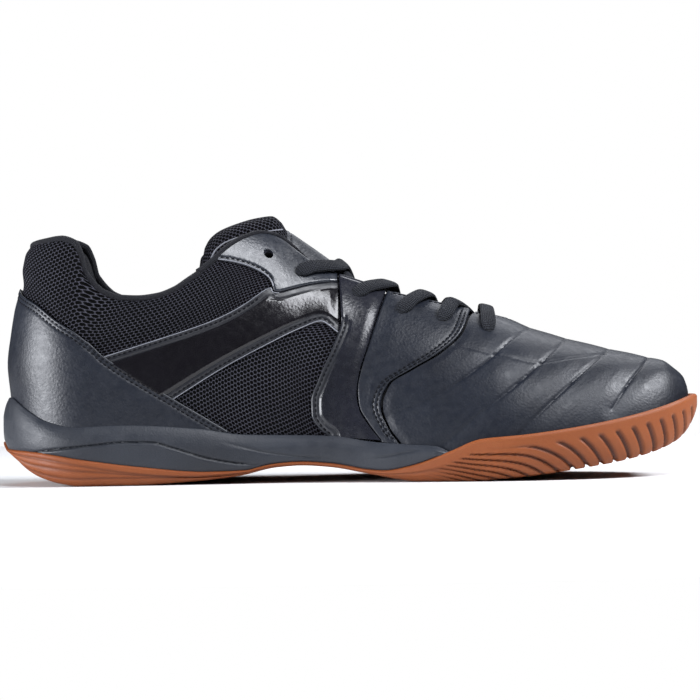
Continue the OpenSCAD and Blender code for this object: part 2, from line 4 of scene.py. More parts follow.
import bmesh
import bpy
import numpy as np
from mathutils import Matrix, Vector


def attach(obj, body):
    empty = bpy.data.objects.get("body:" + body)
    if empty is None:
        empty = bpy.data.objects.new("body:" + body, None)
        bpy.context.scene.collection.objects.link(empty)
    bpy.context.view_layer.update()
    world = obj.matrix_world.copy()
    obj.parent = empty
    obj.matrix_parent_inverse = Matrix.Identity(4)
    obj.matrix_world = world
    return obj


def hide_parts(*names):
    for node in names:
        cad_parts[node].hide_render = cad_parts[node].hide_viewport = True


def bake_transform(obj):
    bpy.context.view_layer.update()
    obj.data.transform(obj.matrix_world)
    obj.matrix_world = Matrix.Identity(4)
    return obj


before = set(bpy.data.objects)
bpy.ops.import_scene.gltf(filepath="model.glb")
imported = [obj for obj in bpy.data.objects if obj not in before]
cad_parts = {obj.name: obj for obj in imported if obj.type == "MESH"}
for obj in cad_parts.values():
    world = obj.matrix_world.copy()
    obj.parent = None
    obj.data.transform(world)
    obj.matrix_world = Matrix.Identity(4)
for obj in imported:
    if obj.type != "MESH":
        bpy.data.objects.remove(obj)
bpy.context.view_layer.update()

MM = 0.001
MEDIAL, LATERAL = -1, 1
SIDES = {"medial": MEDIAL, "lateral": LATERAL}

# ---------------------------------------------------------------- shape of the shoe, in mm

# Layers of the upper from the inside out: their thickness, and the depth of each one's faces
LINING_T = 0.7
STIFFENER_T = 0.8
MESH_T = 0.6
VAMP_T = 1.4
GAP = 0.2
STIFF_IN = LINING_T + GAP
BASE_IN = STIFF_IN + STIFFENER_T + GAP
BASE_OUT = BASE_IN + MESH_T
VAMP_OUT = BASE_IN + VAMP_T
OVERLAY_IN = 2.8
OVERLAY_OUT = 3.7
# Depth of the surface that the lines below describe
SKIN_D = 3.7

# Outline seen from above: the heel turns behind HEEL_X and the toe tapers in front of TOE_X
HEEL_X = -108.0
HEEL_REACH = 37.0
TOE_X = 60.0
TOE_REACH = 85.0
TOE_POWER = 1.85
FOOT_INSET = 7.4
ROUNDNESS = 1.9
# Wall position where the round heel ends and the side begins
HEEL_TURN = 90

# Lines along the shoe against x: middle of the foot, half width, and heights from the sole to the ridge
CENTRE_LINE = [(-108, 0.6), (-80, 1.6), (-60, 3.1), (-40, 4.6), (-20, 5.6), (0, 5.6), (20, 4.1),
               (40, 2.1), (60, -0.4), (80, -2.4), (100, -3.9), (120, -5.4), (145, -7.4)]
HALF_WIDTH = [(-108, 38), (-60, 38.5), (-40, 38.5), (-20, 39.5), (0, 42.5), (20, 46), (40, 48.8),
              (60, 50)]
BOTTOM_LINE = [(-145, 16.5), (-141, 12), (-134, 5.8), (-128, 3.1), (-121, 1.3), (-110, 0), (-90, 0),
               (-67, 1.1), (-46, 3.1), (-30, 6.4), (-20, 7), (-8, 6.2), (6, 3.7), (20, 1), (28, 0),
               (48, 0), (61, 0.9), (76, 2.2), (96, 4.6), (114, 7.2), (130, 10.9), (138, 14.2),
               (142, 17.5), (145, 22)]
RUBBER_LINE = [(-143, 15), (-128, 13.8), (-109, 10.7), (-86, 7.5), (-58, 5), (-42, 5.4), (-20, 8),
               (1, 5.8), (14, 4.6), (24, 6.3), (40, 11.9), (53, 16.9), (71, 18.5), (91, 21), (111, 24.4),
               (128, 28.3), (144, 33.2)]
LIP_LINE = [(-142, 36), (-134, 30.7), (-125, 26.3), (-112, 23.8), (-94, 24.4), (-62, 22.5), (-44, 19.8),
            (-8, 18.7), (11, 15.9), (39, 13.9)]
BOARD_LINE = [(-108, 17.5), (-60, 17), (-20, 14.5), (10, 11.5), (40, 10.5), (80, 12), (110, 16.5),
              (140, 22)]
RIDGE_LINE = [(-108, 165), (-88, 145), (-60, 122), (-42, 113), (-30, 107.5), (-17, 98), (-8, 93),
              (6, 86.5), (30, 79), (50, 72.8), (66, 67), (77, 62.3), (91, 57.9), (109, 53.2), (124, 49.7),
              (131, 48), (136, 44.5), (139.6, 41), (141.2, 37), (142.2, 33.8)]
# How far the heel's back reaches behind HEEL_X, against height
BACK_LINE = [(17, 31), (24, 32.3), (36, 32.8), (50, 34), (63, 32.4), (82, 29), (91, 27.5), (98, 25.8),
             (104, 23.5)]
# Height of the collar's edge, against wall position
TOP_LINE = [(0, 101), (45, 102.6), (65, 103.4), (80, 101.6), (86, 97), (91, 88), (95, 83), (98, 80.6),
            (105, 78.3), (112, 78), (120, 79), (127, 81.7), (133, 85.8), (139, 90), (144, 94), (150, 99),
            (156, 102.3), (162, 104), (168, 103), (176, 97.7), (184, 91), (196, 86.3), (214, 79.5),
            (229, 75.6), (249, 71.5), (264, 66.8)]
# Rear edges of the vamp and of its lining: x against height fraction
VAMP_REAR = [(0, 22), (0.06, 21.2), (0.15, 16.6), (0.27, 13.8), (0.4, 17), (0.5, 26), (0.633, 38),
             (0.785, 47), (0.96, 52.5), (1, 66)]
LINING_REAR = [(0, 14), (0.15, 8), (0.3, 6), (0.45, 9), (0.6, 20), (0.75, 33), (0.9, 44), (0.955, 50),
               (1, 66)]
# Tongue: height of its face and power of its rounding against x, and x of its free end against
# height fraction
TONGUE_LINE = [(-61, 92), (-59.5, 97), (-57, 101), (-53, 104), (-46, 106.8), (-38, 109), (-31.5, 109.8),
               (-25.5, 105.4), (-7, 92), (5, 82), (15, 77.2), (27, 72.8), (41, 68.2), (58, 62.6)]
TONGUE_ROUND = [(-45, 2.2), (-20, 1.5)]
TONGUE_END = [(0.6, -57), (0.75, -60.5), (0.9, -61), (1, -60)]
TONGUE_FRONT = 58.0
TONGUE_INSET = 5.0
TONGUE_WING = 0.64
TONGUE_FACE_T = 1.0
TONGUE_PAD = 5.0
# Eyelets from the toe backwards, seen from the side
EYELETS = [(58, 64), (40.5, 67.8), (24, 71), (5.5, 77.5), (-17.5, 86.8)]
SPARE_EYELET = (-32.5, 94.7)
EYELET_R = 2.0
# Route of a tucked lace end: x, distance from the middle, height
TAIL_ROUTE = [(-17.5, 14.4, 84), (-19, 16, 79), (-21, 19, 72), (-23, 22.5, 62), (-24, 25.5, 51),
              (-23, 27, 41), (-19, 26, 32), (-11, 23.5, 26.5), (0, 21, 23.2), (12, 19.5, 21.2),
              (25, 18, 20.2), (40, 16, 19.8), (55, 15, 20.2), (70, 16, 21), (84, 17, 22.4)]


def curve(points, at):
    """Smooth curve through points that never overshoots them, held level past its ends."""
    x, y = np.array(points, float).T
    at = np.clip(np.asarray(at, float), x[0], x[-1])
    width = np.diff(x)
    chord = np.diff(y) / width
    before, after = chord[:-1], chord[1:]
    same = before * after > 0
    total = np.where(same, before + after, 1)
    slope = np.concatenate([chord[:1], np.where(same, 2 * before * after / total, 0), chord[-1:]])
    i = np.clip(np.searchsorted(x, at, side="right") - 1, 0, len(x) - 2)
    s = (at - x[i]) / width[i]
    return (y[i] * (1 + 2 * s) * (1 - s) ** 2 + slope[i] * width[i] * s * (1 - s) ** 2
            + y[i + 1] * s * s * (3 - 2 * s) - slope[i + 1] * width[i] * s * s * (1 - s))


def ease(x, low, high):
    """Smooth step from 0 at low to 1 at high."""
    f = np.clip((np.asarray(x, float) - low) / (high - low), 0, 1)
    return f * f * (3 - 2 * f)


def mix(a, b, f):
    return a + (b - a) * f


def bell(x, centre, width):
    """1 at the centre, falling smoothly to nothing on both sides."""
    return np.exp(-((x - centre) / width) ** 2)


def wall_of(x):
    """Wall position: 0 at the back of the heel, HEEL_TURN where the side begins, then 1 per mm."""
    return HEEL_TURN + x - HEEL_X


def x_of(w):
    return np.maximum(HEEL_X, HEEL_X + np.abs(w) - HEEL_TURN)


def toe_share(x, d):
    return np.clip((x - TOE_X) / (TOE_REACH - FOOT_INSET + d), 0, 1)


def ridge(x, d):
    at = np.where(x <= TOE_X, x, TOE_X + (TOE_REACH - FOOT_INSET + SKIN_D) * toe_share(x, d))
    return curve(RIDGE_LINE, at) + d - SKIN_D


def wall_half(x, d):
    tapered = np.maximum(0, 1 - toe_share(x, d) ** TOE_POWER) ** (1 / TOE_POWER)
    return (curve(HALF_WIDTH, np.minimum(x, TOE_X)) - FOOT_INSET + d) * tapered


def rounding(t, power):
    return np.maximum(0, 1 - np.clip(t, 0, 1) ** power) ** (1 / power)


def board(x):
    return curve(BOARD_LINE, x)


def centre(x):
    return curve(CENTRE_LINE, x)


def fraction(w, z):
    """Height fraction of a height on the outermost surface."""
    x = x_of(w)
    return (z - board(x)) / (ridge(x, SKIN_D) - board(x))


def skin(w, t, d):
    """Points of the upper's skin at wall positions, height fractions and depths."""
    w, t, d = np.broadcast_arrays(np.asarray(w, float), np.asarray(t, float), np.asarray(d, float))
    x = x_of(w)
    z = mix(board(x), ridge(x, d), t)
    y = wall_half(x, d) * rounding(t, ROUNDNESS)
    round_heel = np.abs(w) < HEEL_TURN
    angle = np.radians(np.clip(w, -HEEL_TURN, HEEL_TURN))
    back = curve(BACK_LINE, z) + d - SKIN_D
    return np.stack([np.where(round_heel, HEEL_X - back * np.cos(angle), x),
                     centre(x) + y * np.sin(angle), z], -1)


def skin_normal(w, t, d):
    """Outward directions of the skin."""
    step, rise = 0.4, 0.004
    along = skin(w + step, t, d) - skin(w - step, t, d)
    up = skin(w, np.minimum(t + rise, 1), d) - skin(w, t - rise, d)
    n = np.cross(along, up)
    n /= np.linalg.norm(n, axis=-1, keepdims=True) + 1e-9
    outward = skin(w, t, d + 1) - skin(w, t, d)
    return n * np.sign((n * outward).sum(-1, keepdims=True) + 1e-12)


# ---------------------------------------------------------------- meshes

def unit(v):
    """Directions of length 1."""
    return v / (np.linalg.norm(v, axis=-1, keepdims=True) + 1e-12)


def run_along(points):
    """Distance run along a line at each of its points."""
    return np.concatenate([[0], np.cumsum(np.linalg.norm(np.diff(points, axis=0), axis=1))])


def grid_faces(rows, columns, start=0, closed=False):
    """Faces of a grid of points numbered row by row. A closed grid joins its last column to its first."""
    i, j = np.meshgrid(np.arange(rows - 1), np.arange(columns - (not closed)), indexing="ij")
    near = start + i * columns + j
    far = start + i * columns + (j + 1) % columns
    return np.stack([near, far, far + columns, near + columns], -1).reshape(-1, 4)


def add_object(name, data):
    obj = bpy.data.objects.new(name, data)
    bpy.context.scene.collection.objects.link(obj)
    return obj


# Size of one mm in the cloth map, and the turn in degrees from which an edge stays sharp
CLOTH_MM = 0.01
SHARP = 50


def build(name, points, faces, material, cloth=None, marks=None, weld=2e-6, angle=None):
    """Piece from points in mm, its doubles welded and its faces turned outwards. cloth holds a pair in mm
    for each point and marks holds named numbers for each point. Edges turned more than angle stay sharp."""
    mesh = bpy.data.meshes.new(name)
    mesh.from_pydata((np.asarray(points, float) * MM).tolist(), [], faces)
    if cloth is not None:
        layer = mesh.uv_layers.new(name="Cloth")
        index = np.zeros(len(mesh.loops), int)
        mesh.loops.foreach_get("vertex_index", index)
        layer.data.foreach_set("uv", (cloth[index] * CLOTH_MM).ravel().astype(np.float32))
    for key, values in (marks or {}).items():
        mark = mesh.attributes.new(key, "FLOAT", "POINT")
        mark.data.foreach_set("value", np.ravel(values).astype(np.float32))
    bm = bmesh.new()
    bm.from_mesh(mesh)
    bmesh.ops.remove_doubles(bm, verts=bm.verts, dist=weld)
    bmesh.ops.recalc_face_normals(bm, faces=bm.faces)
    bm.to_mesh(mesh)
    bm.free()
    mesh.polygons.foreach_set("use_smooth", [True] * len(mesh.polygons))
    if angle:
        mesh.set_sharp_from_angle(angle=math.radians(angle))
    mesh.materials.append(material)
    return add_object(name, mesh)


def nearest(points, line):
    """Distance from each point to the nearest of the line's points, worked out a batch at a time."""
    flat = points.reshape(-1, 3)
    best = np.full(len(flat), 1e9)
    batch = 200
    for start in range(0, len(line), batch):
        part = line[start:start + batch]
        best = np.minimum(best, np.linalg.norm(flat[:, None] - part[None], axis=-1).min(1))
    return best.reshape(points.shape[:-1])


def spread(length, near, far, interior):
    """Fractions across strips of some lengths: fine steps at each edge and even ones between."""
    length = np.asarray(length, float)
    most = 0.46 * length
    fit_near = np.minimum(1, most / near[-1]) if near else np.ones_like(length)
    fit_far = np.minimum(1, most / far[-1]) if far else np.ones_like(length)
    a = near[-1] * fit_near if near else 0 * length
    b = length - (far[-1] * fit_far if far else 0 * length)
    lines = [o * fit_near for o in near] + [a] * (not near)
    lines += [mix(a, b, (k + 1) / (interior + 1)) for k in range(interior)]
    lines += [length - o * fit_far for o in reversed(far)] + [b] * (not far)
    return np.stack(lines, -1) / length[..., None]


def rail(points, s):
    """Point of a smooth side-view outline at an index position."""
    p = np.array(points, float)
    index = np.arange(len(p))
    return np.stack([curve(list(zip(index, p[:, 0])), s), curve(list(zip(index, p[:, 1])), s)], -1)


# Distances of a panel's fine grid lines from its border
EDGE = [0, 0.12, 0.3, 0.55, 0.85, 1.15, 1.4, 1.65, 1.95, 2.4, 2.85, 3.1, 3.35, 3.8, 4.6]


class Panel:
    """A strip of the upper between two side-view outlines, rail a and rail b, that run the same way."""

    def __init__(self, rail_a, rail_b, side, step=1.2, cross=24, ends=(True, True), span=None):
        self.side, self.a, self.b = side, rail_a, rail_b
        dense = np.linspace(*(span or (0, len(rail_a) - 1)), 901)
        middle = self.point(dense, 0.5)
        run = run_along(middle)
        self.run, self.dense, self.length = run, dense, run[-1]
        inner = max(2, int(self.length / step))
        shares = spread(self.length, EDGE if ends[0] else [], EDGE if ends[1] else [], inner)
        self.s = np.interp(shares * self.length, run, dense)
        across = self.point(self.s, 1.0) - self.point(self.s, 0.0)
        self.width = np.linalg.norm(across, axis=-1)
        self.v = spread(self.width, EDGE, EDGE, cross)
        s = np.broadcast_to(self.s[:, None], self.v.shape)
        self.w, self.t = self.param(s, self.v)
        self.points = skin(self.w, self.t, SKIN_D)
        along = np.broadcast_to((shares * self.length)[:, None], self.v.shape)
        self.cloth = np.stack([along, self.v * self.width[:, None]], -1)

    def param(self, s, v):
        flat = mix(rail(self.a, s), rail(self.b, s), np.asarray(v, float)[..., None])
        w = self.side * wall_of(flat[..., 0])
        return w, fraction(w, flat[..., 1])

    def point(self, s, v, d=SKIN_D):
        w, t = self.param(s, np.broadcast_to(np.asarray(v, float), np.shape(s)))
        return skin(w, t, d)

    def line(self, border, inset, trim=(0, 0), count=400):
        """Skin places that follow a border at a distance inside it, with trim mm left off at each end.
        Borders a and b are the rails; start and end are the short sides."""
        if border in "ab":
            s = np.interp(np.linspace(trim[0], self.length - trim[1], count), self.run, self.dense)
            width = np.linalg.norm(self.point(s, 1.0) - self.point(s, 0.0), axis=-1)
            v = inset / width if border == "a" else 1 - inset / width
            return self.param(s, v)
        along = inset if border == "start" else self.length - inset
        s = np.full(count, np.interp(along, self.run, self.dense))
        width = np.linalg.norm(self.point(s[:1], 1.0) - self.point(s[:1], 0.0))
        return self.param(s, np.linspace(trim[0] / width, 1 - trim[1] / width, count).ravel())


# Upper and lower edge of the heel leather: height against wall position
HEEL_TOP = [(0, 82), (45, 75.5), (70, 67.5), (90, 60), (98, 53), (126, 35.3), (148, 21.8)]
HEEL_LOW = 18.6


class HeelPanel(Panel):
    """The leather around the back of the heel, from one side to the other."""

    def param(self, s, v):
        s, v = np.broadcast_arrays(np.asarray(s, float), np.asarray(v, float))
        return s, fraction(s, mix(HEEL_LOW, curve(HEEL_TOP, np.abs(s)), v))


def rolled(away, radius=0.8):
    """How far a turned edge has dropped at a distance from its border."""
    f = np.clip(1 - away / radius, 0, 1)
    return radius * (1 - np.sqrt(1 - f * f))


def shell(name, outer, inner, material, cloth=None, step=4, angle=SHARP, marks=None):
    """Closed thin shell: a fine outer grid and an inner grid with only every step-th row and column.
    cloth and marks are given for the outer grid's points."""
    rows, columns = outer.shape[:2]
    kept_rows = np.unique(np.r_[np.arange(0, rows, step), rows - 1])
    kept_columns = np.unique(np.r_[np.arange(0, columns, step), columns - 1])
    kept = np.ix_(kept_rows, kept_columns)
    n, m = len(kept_rows), len(kept_columns)
    first = rows * columns
    faces = grid_faces(rows, columns).tolist() + grid_faces(n, m, first)[:, ::-1].tolist()
    for column, low in ((0, 0), (columns - 1, m - 1)):
        for k in range(n - 1):
            rim = [r * columns + column for r in range(kept_rows[k], kept_rows[k + 1] + 1)]
            wall = rim + [first + (k + 1) * m + low, first + k * m + low]
            faces.append(wall if column else wall[::-1])
    for row, low in ((0, 0), (rows - 1, n - 1)):
        for k in range(m - 1):
            rim = [row * columns + c for c in range(kept_columns[k], kept_columns[k + 1] + 1)]
            wall = rim + [first + low * m + k + 1, first + low * m + k]
            faces.append(wall[::-1] if row else wall)
    points = np.concatenate([outer.reshape(-1, 3), inner[kept].reshape(-1, 3)])
    if cloth is not None:
        cloth = np.concatenate([cloth.reshape(-1, 2), cloth[kept].reshape(-1, 2)])
    blank = np.zeros(n * m)
    marks = {key: np.concatenate([np.ravel(values), blank]) for key, values in (marks or {}).items()}
    return build(name, points, faces, material, cloth, marks, angle=angle)


def place(obj, body, slot, *nodes):
    """Puts a piece on a body and hides the CAD nodes it stands for; slot is not used."""
    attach(obj, body)
    if nodes:
        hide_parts(*nodes)
    return obj


def punch(obj, side, eyelets, solver="EXACT", crossing=False):
    """Cuts eyelets through a piece, square to its surface; crossing is for a piece that meets itself."""
    cutter = bmesh.new()
    radius = EYELET_R * MM
    for x, z in eyelets:
        w = side * wall_of(x)
        t = fraction(w, z)
        low, high = Vector(skin(w, t, -12) * MM), Vector(skin(w, t, 7) * MM)
        turn = (high - low).to_track_quat("Z", "Y").to_matrix().to_4x4()
        bmesh.ops.create_cone(cutter, cap_ends=True, segments=28, radius1=radius, radius2=radius,
                              depth=(high - low).length, matrix=Matrix.Translation((low + high) / 2) @ turn)
    mesh = bpy.data.meshes.new("cutter")
    cutter.to_mesh(mesh)
    cutter.free()
    tool = add_object("cutter", mesh)
    cut = obj.modifiers.new("holes", "BOOLEAN")
    cut.object, cut.operation, cut.solver = tool, "DIFFERENCE", solver
    cut.use_self = crossing
    solid = bpy.data.meshes.new_from_object(obj.evaluated_get(bpy.context.evaluated_depsgraph_get()))
    obj.modifiers.clear()
    old, obj.data = obj.data, solid
    bpy.data.meshes.remove(old)
    bpy.data.objects.remove(tool)
    solid.validate(clean_customdata=False)
    solid.set_sharp_from_angle(angle=math.radians(SHARP))
    return obj


# ---------------------------------------------------------------- stitching

STITCH_PITCH = 2.2
STITCH_L = 1.65
STITCH_R = 0.3
STITCH_SIDES = 6
# Rings of one stitch: share of its length, then its swell and its sink in thread radii
STITCH_RINGS = [(0, 0.3, -1.5), (0.1, 0.8, -0.6), (0.28, 1, 0), (0.72, 1, 0), (0.9, 0.8, -0.6),
                (1, 0.3, -1.5)]


def at_distance(line, values, places):
    """Values given at a line's points, read at distances along the line."""
    run = run_along(line)
    return np.stack([np.interp(places, run, values[:, k]) for k in range(3)], -1)


def stitching(name, lines, body="root", pitch=STITCH_PITCH):
    """Small thread loops along lines given as (points, normals)."""
    share, swell, sink = np.array(STITCH_RINGS, float).T
    rings, sides = len(share), STITCH_SIDES
    angle = 2 * np.pi * np.arange(sides) / sides
    quad = grid_faces(rings, sides, closed=True)
    caps = np.stack([np.arange(sides)[::-1], (rings - 1) * sides + np.arange(sides)])
    points, faces = [], []
    start = 0
    for line, normals in lines:
        begin = np.arange(0.5, run_along(line)[-1] - STITCH_L - 0.3, pitch)
        a, b = at_distance(line, line, begin), at_distance(line, line, begin + STITCH_L)
        up = unit(at_distance(line, normals, begin + STITCH_L / 2))
        ahead = unit(b - a)
        up = unit(up - ahead * (up * ahead).sum(-1, keepdims=True))
        aside = np.cross(ahead, up)
        middle = a[:, None] + (b - a)[:, None] * share[None, :, None]
        middle = middle + up[:, None] * (sink * STITCH_R)[None, :, None]
        ring = (up[:, None, None] * np.cos(angle)[None, None, :, None] * 0.85
                + aside[:, None, None] * np.sin(angle)[None, None, :, None])
        ring = middle[:, :, None] + ring * (swell * STITCH_R)[None, :, None, None]
        base = start + np.arange(len(begin))[:, None, None] * (rings * sides)
        faces += (base + quad[None]).reshape(-1, 4).tolist()
        faces += (base + caps[None]).reshape(-1, sides).tolist()
        points.append(ring.reshape(-1, 3))
        start += len(begin) * rings * sides
    return place(build(name, np.concatenate(points), faces, THREAD), body, "lace")


def on_skin(line, d):
    """Points and normals along a line of wall positions and height fractions."""
    w, t = line
    return skin(w, t, d), skin_normal(w, t, d)


def tube(path, normals, width, thick, sides=20, power=2.4):
    """Ribbon or tube along points: its points, faces and cloth map. Its flat side faces the normals, width
    and thick are full sizes, and a higher power makes the section squarer."""
    path = np.asarray(path, float)
    ahead = unit(np.gradient(path, axis=0))
    up = unit(normals - ahead * (normals * ahead).sum(-1, keepdims=True))
    aside = np.cross(ahead, up)
    angle = 2 * np.pi * np.arange(sides + 1) / sides
    c, s = np.cos(angle), np.sin(angle)
    round_c = np.sign(c) * np.abs(c) ** (2 / power)
    round_s = np.sign(s) * np.abs(s) ** (2 / power)
    width = np.broadcast_to(np.asarray(width, float), len(path))
    thick = np.broadcast_to(np.asarray(thick, float), len(path))
    points = (path[:, None] + aside[:, None] * (round_c[None, :, None] * width[:, None, None] / 2)
              + up[:, None] * (round_s[None, :, None] * thick[:, None, None] / 2))
    girth = run_along(points[len(path) // 2])
    cloth = np.stack(np.broadcast_arrays(run_along(path)[:, None], girth[None]), -1)
    n, m = points.shape[:2]
    faces = grid_faces(n, m).tolist()
    faces += [list(range(m - 1))[::-1], [(n - 1) * m + k for k in range(m - 1)]]
    return points.reshape(-1, 3), faces, cloth.reshape(-1, 2)


def joined(name, tubes, material):
    """One piece from several tubes."""
    points, faces, cloths, start = [], [], [], 0
    for tube_points, tube_faces, cloth in tubes:
        points.append(tube_points)
        cloths.append(cloth)
        faces += [[i + start for i in face] for face in tube_faces]
        start += len(tube_points)
    return build(name, np.concatenate(points), faces, material, np.concatenate(cloths))


# ---------------------------------------------------------------- leather overlays

# How deep a stitch row is pressed into the leather, and how far the thread stands out of that groove
THREAD_DEPTH = 0.32
THREAD_RISE = 0.16
FAR_AWAY = 99.0
LINE_POINTS = 700


def overlay(name, node, panel, material, slot, edges, rows, side=0, holes=(), puff=0.0, top=OVERLAY_OUT,
            strip=None, strip_along="ab", strip_until=(200, 201), solver="FAST"):
    """Leather panel with turned edges, pressed stitch rows and thread. Borders that lie over their
    neighbours are rolled, and those that lie under sink. Each row is (border, inset, trim). strip is the
    width of a sewn border beside a raised panel, which fades out between the heights strip_until."""
    out = np.full(panel.v.shape, top)
    from_edge = np.full(panel.v.shape, FAR_AWAY)
    to_strip = from_edge.copy()
    for border, kind in edges.items():
        away = nearest(panel.points, skin(*panel.line(border, 0, count=LINE_POINTS), SKIN_D))
        if kind == "over":
            from_edge = np.minimum(from_edge, away)
            out -= rolled(away)
        else:
            out -= 0.55 * (1 - ease(away, 0, 4))
        if border in strip_along:
            to_strip = np.minimum(to_strip, away)
    for border, inset, trim in rows:
        line = panel.line(border, inset, trim, count=LINE_POINTS)
        out -= THREAD_DEPTH * bell(nearest(panel.points, skin(*line, SKIN_D)), 0, 0.6)
    out += puff * ease(from_edge, 3, 9)
    marks = {}
    if strip:
        to_strip += 12 * ease(panel.points[..., 2], *strip_until)
        marks["trim"] = 1 - ease(to_strip, strip - 0.2, strip + 0.2)
        out += 0.4 * ease(to_strip, strip - 0.1, strip + 0.7) - 0.35 * bell(to_strip, strip - 0.2, 0.4)
    inner = skin(panel.w, panel.t, OVERLAY_IN)
    obj = shell(name, skin(panel.w, panel.t, out), inner, material, panel.cloth, marks=marks)
    if holes:
        punch(obj, side, holes, solver, crossing=solver == "EXACT")
    place(obj, "root", slot, node)
    thread_at = top - THREAD_DEPTH + THREAD_RISE
    stitching(name + "_stitching", [on_skin(panel.line(*row), thread_at) for row in rows])


# ---------------------------------------------------------------- materials

def srgb(r, g, b):
    """Scene colour of a display colour given from 0 to 255."""
    return [((c / 255 + 0.055) / 1.055) ** 2.4 if c > 10 else c / 255 / 12.92 for c in (r, g, b)] + [1]


class Shade:
    """A principled material with short calls for its nodes; set() gives the shader's own sockets."""

    def __init__(self, name, **sockets):
        self.material = bpy.data.materials.new(name)
        self.material.use_nodes = True
        self.tree = self.material.node_tree
        self.shader = self.tree.nodes["Principled BSDF"]
        self.relief = None
        self.set(**sockets)

    def node(self, kind, inputs=(), **settings):
        made = self.tree.nodes.new("ShaderNode" + kind)
        for key, value in settings.items():
            setattr(made, key, value)
        for key, value in dict(inputs).items():
            if isinstance(value, bpy.types.NodeSocket):
                self.tree.links.new(value, made.inputs[key])
            else:
                made.inputs[key].default_value = value
        return made

    def coords(self, cloth=False):
        """Places on the piece: its cloth map, or its object space."""
        if cloth:
            return self.node("UVMap", uv_map="Cloth").outputs[0]
        return self.node("TexCoord").outputs["Object"]

    def noise(self, scale, detail=3.0, rough=0.5):
        inputs = {"Vector": self.coords(), "Scale": scale, "Detail": detail, "Roughness": rough}
        return self.node("TexNoise", inputs).outputs["Fac"]

    def cells(self, scale, feature="F1"):
        inputs = {"Vector": self.coords(), "Scale": scale}
        if feature == "SMOOTH_F1":
            inputs["Smoothness"] = 0.6
        return self.node("TexVoronoi", inputs, feature=feature).outputs["Distance"]

    def calc(self, operation, a, b=0.0):
        return self.node("Math", {0: a, 1: b}, operation=operation).outputs[0]

    def mark(self, name):
        """Number that the piece's points carry under a name."""
        return self.node("Attribute", attribute_name=name).outputs["Fac"]

    def fit(self, value, low, high, new_low=0.0, new_high=1.0):
        return self.node("MapRange", {"Value": value, "From Min": low, "From Max": high, "To Min": new_low,
                                      "To Max": new_high}).outputs[0]

    def ramp(self, value, *stops):
        ramp = self.node("ValToRGB", {"Fac": value})
        points = ramp.color_ramp.elements
        while len(points) < len(stops):
            points.new(0.5)
        for point, (where, colour) in zip(points, stops):
            point.position, point.color = where, colour
        return ramp.outputs["Color"]

    def blend(self, factor, a, b):
        return self.node("Mix", {0: factor, 6: a, 7: b}, data_type="RGBA").outputs[2]

    def set(self, **sockets):
        for key, value in sockets.items():
            socket = self.shader.inputs[key.replace("_", " ")]
            if isinstance(value, bpy.types.NodeSocket):
                self.tree.links.new(value, socket)
            else:
                socket.default_value = value

    def bump(self, height, distance):
        """Adds relief, distance mm high, on top of any relief set before."""
        inputs = {"Height": height, "Distance": distance * MM, "Strength": 1.0}
        if self.relief:
            inputs["Normal"] = self.relief
        self.relief = self.node("Bump", inputs).outputs[0]
        self.set(Normal=self.relief)


def leather(name, dark, light, rough, coat=0.0, grain=0.16, coat_rough=0.15, trim=0.0, gloss=0.5):
    """Tumbled leather: small pebbles, finer pores, soft colour drift and lighter wear in random patches.
    trim is how much duller the sewn border around a glossy panel is."""
    s = Shade(name, Specular_IOR_Level=gloss, Coat_Weight=coat, Coat_Roughness=coat_rough)
    pebbles = s.cells(900, feature="SMOOTH_F1")
    pores = s.noise(2600, 4)
    drift = s.noise(28, 3)
    wear = s.fit(s.noise(160, 5, 0.6), 0.35, 0.75)
    colour = s.blend(s.fit(drift, 0.3, 0.7), srgb(*dark), srgb(*light))
    lifted = [min(1, c * 1.35) for c in srgb(*light)[:3]] + [1]
    colour = s.blend(s.calc("MULTIPLY", wear, 0.28), colour, lifted)
    dull = s.fit(s.noise(380, 4), 0.3, 0.7, rough - 0.05, rough + 0.07)
    if trim:
        border = s.mark("trim")
        dull = s.calc("ADD", dull, s.calc("MULTIPLY", border, trim))
        colour = s.blend(s.calc("MULTIPLY", border, 0.7), colour, srgb(28, 30, 36))
    s.set(Base_Color=colour, Roughness=dull)
    s.bump(pebbles, grain)
    s.bump(pores, grain * 0.3)
    return s.material


def woven(name, dark, light, pitch, rough=0.75, depth=0.2, sheen=0.15, cloth=True):
    """Basket weave, pitch mm from thread to thread, with over and under threads in both directions of the
    piece's cloth map or of its object space."""
    s = Shade(name, Sheen_Weight=sheen, Sheen_Roughness=0.5, Specular_IOR_Level=0.12, Roughness=rough)
    split = s.node("SeparateXYZ", {0: s.coords(cloth)})
    scale = math.pi / (pitch * (CLOTH_MM if cloth else MM))
    u = s.calc("MULTIPLY", split.outputs[0], scale)
    v = s.calc("MULTIPLY", split.outputs[1], scale)
    across = s.calc("ABSOLUTE", s.calc("SINE", u))
    along = s.calc("ABSOLUTE", s.calc("SINE", v))
    turn = s.calc("SIGN", s.calc("MULTIPLY", s.calc("SINE", u), s.calc("SINE", v)))
    over = s.calc("MULTIPLY", s.calc("GREATER_THAN", turn, 0.0), s.calc("POWER", across, 0.55))
    under = s.calc("MULTIPLY", s.calc("LESS_THAN", turn, 0.0), s.calc("POWER", along, 0.55))
    sides = s.calc("MULTIPLY", s.calc("POWER", along, 0.3), s.calc("POWER", across, 0.3))
    weave = s.calc("MULTIPLY", s.calc("ADD", over, under), sides)
    # Colour dark in the gaps and dips between threads and light on their crowns: painted shade of the weave
    tint = s.blend(s.calc("POWER", weave, 1.3), srgb(*dark), srgb(*light))
    tint = s.blend(s.fit(s.noise(90, 2), 0.35, 0.7, 0.0, 0.25), tint, srgb(*dark))
    s.set(Base_Color=tint)
    s.bump(weave, depth)
    s.bump(s.noise(5200, 2), depth * 0.12)
    return s.material


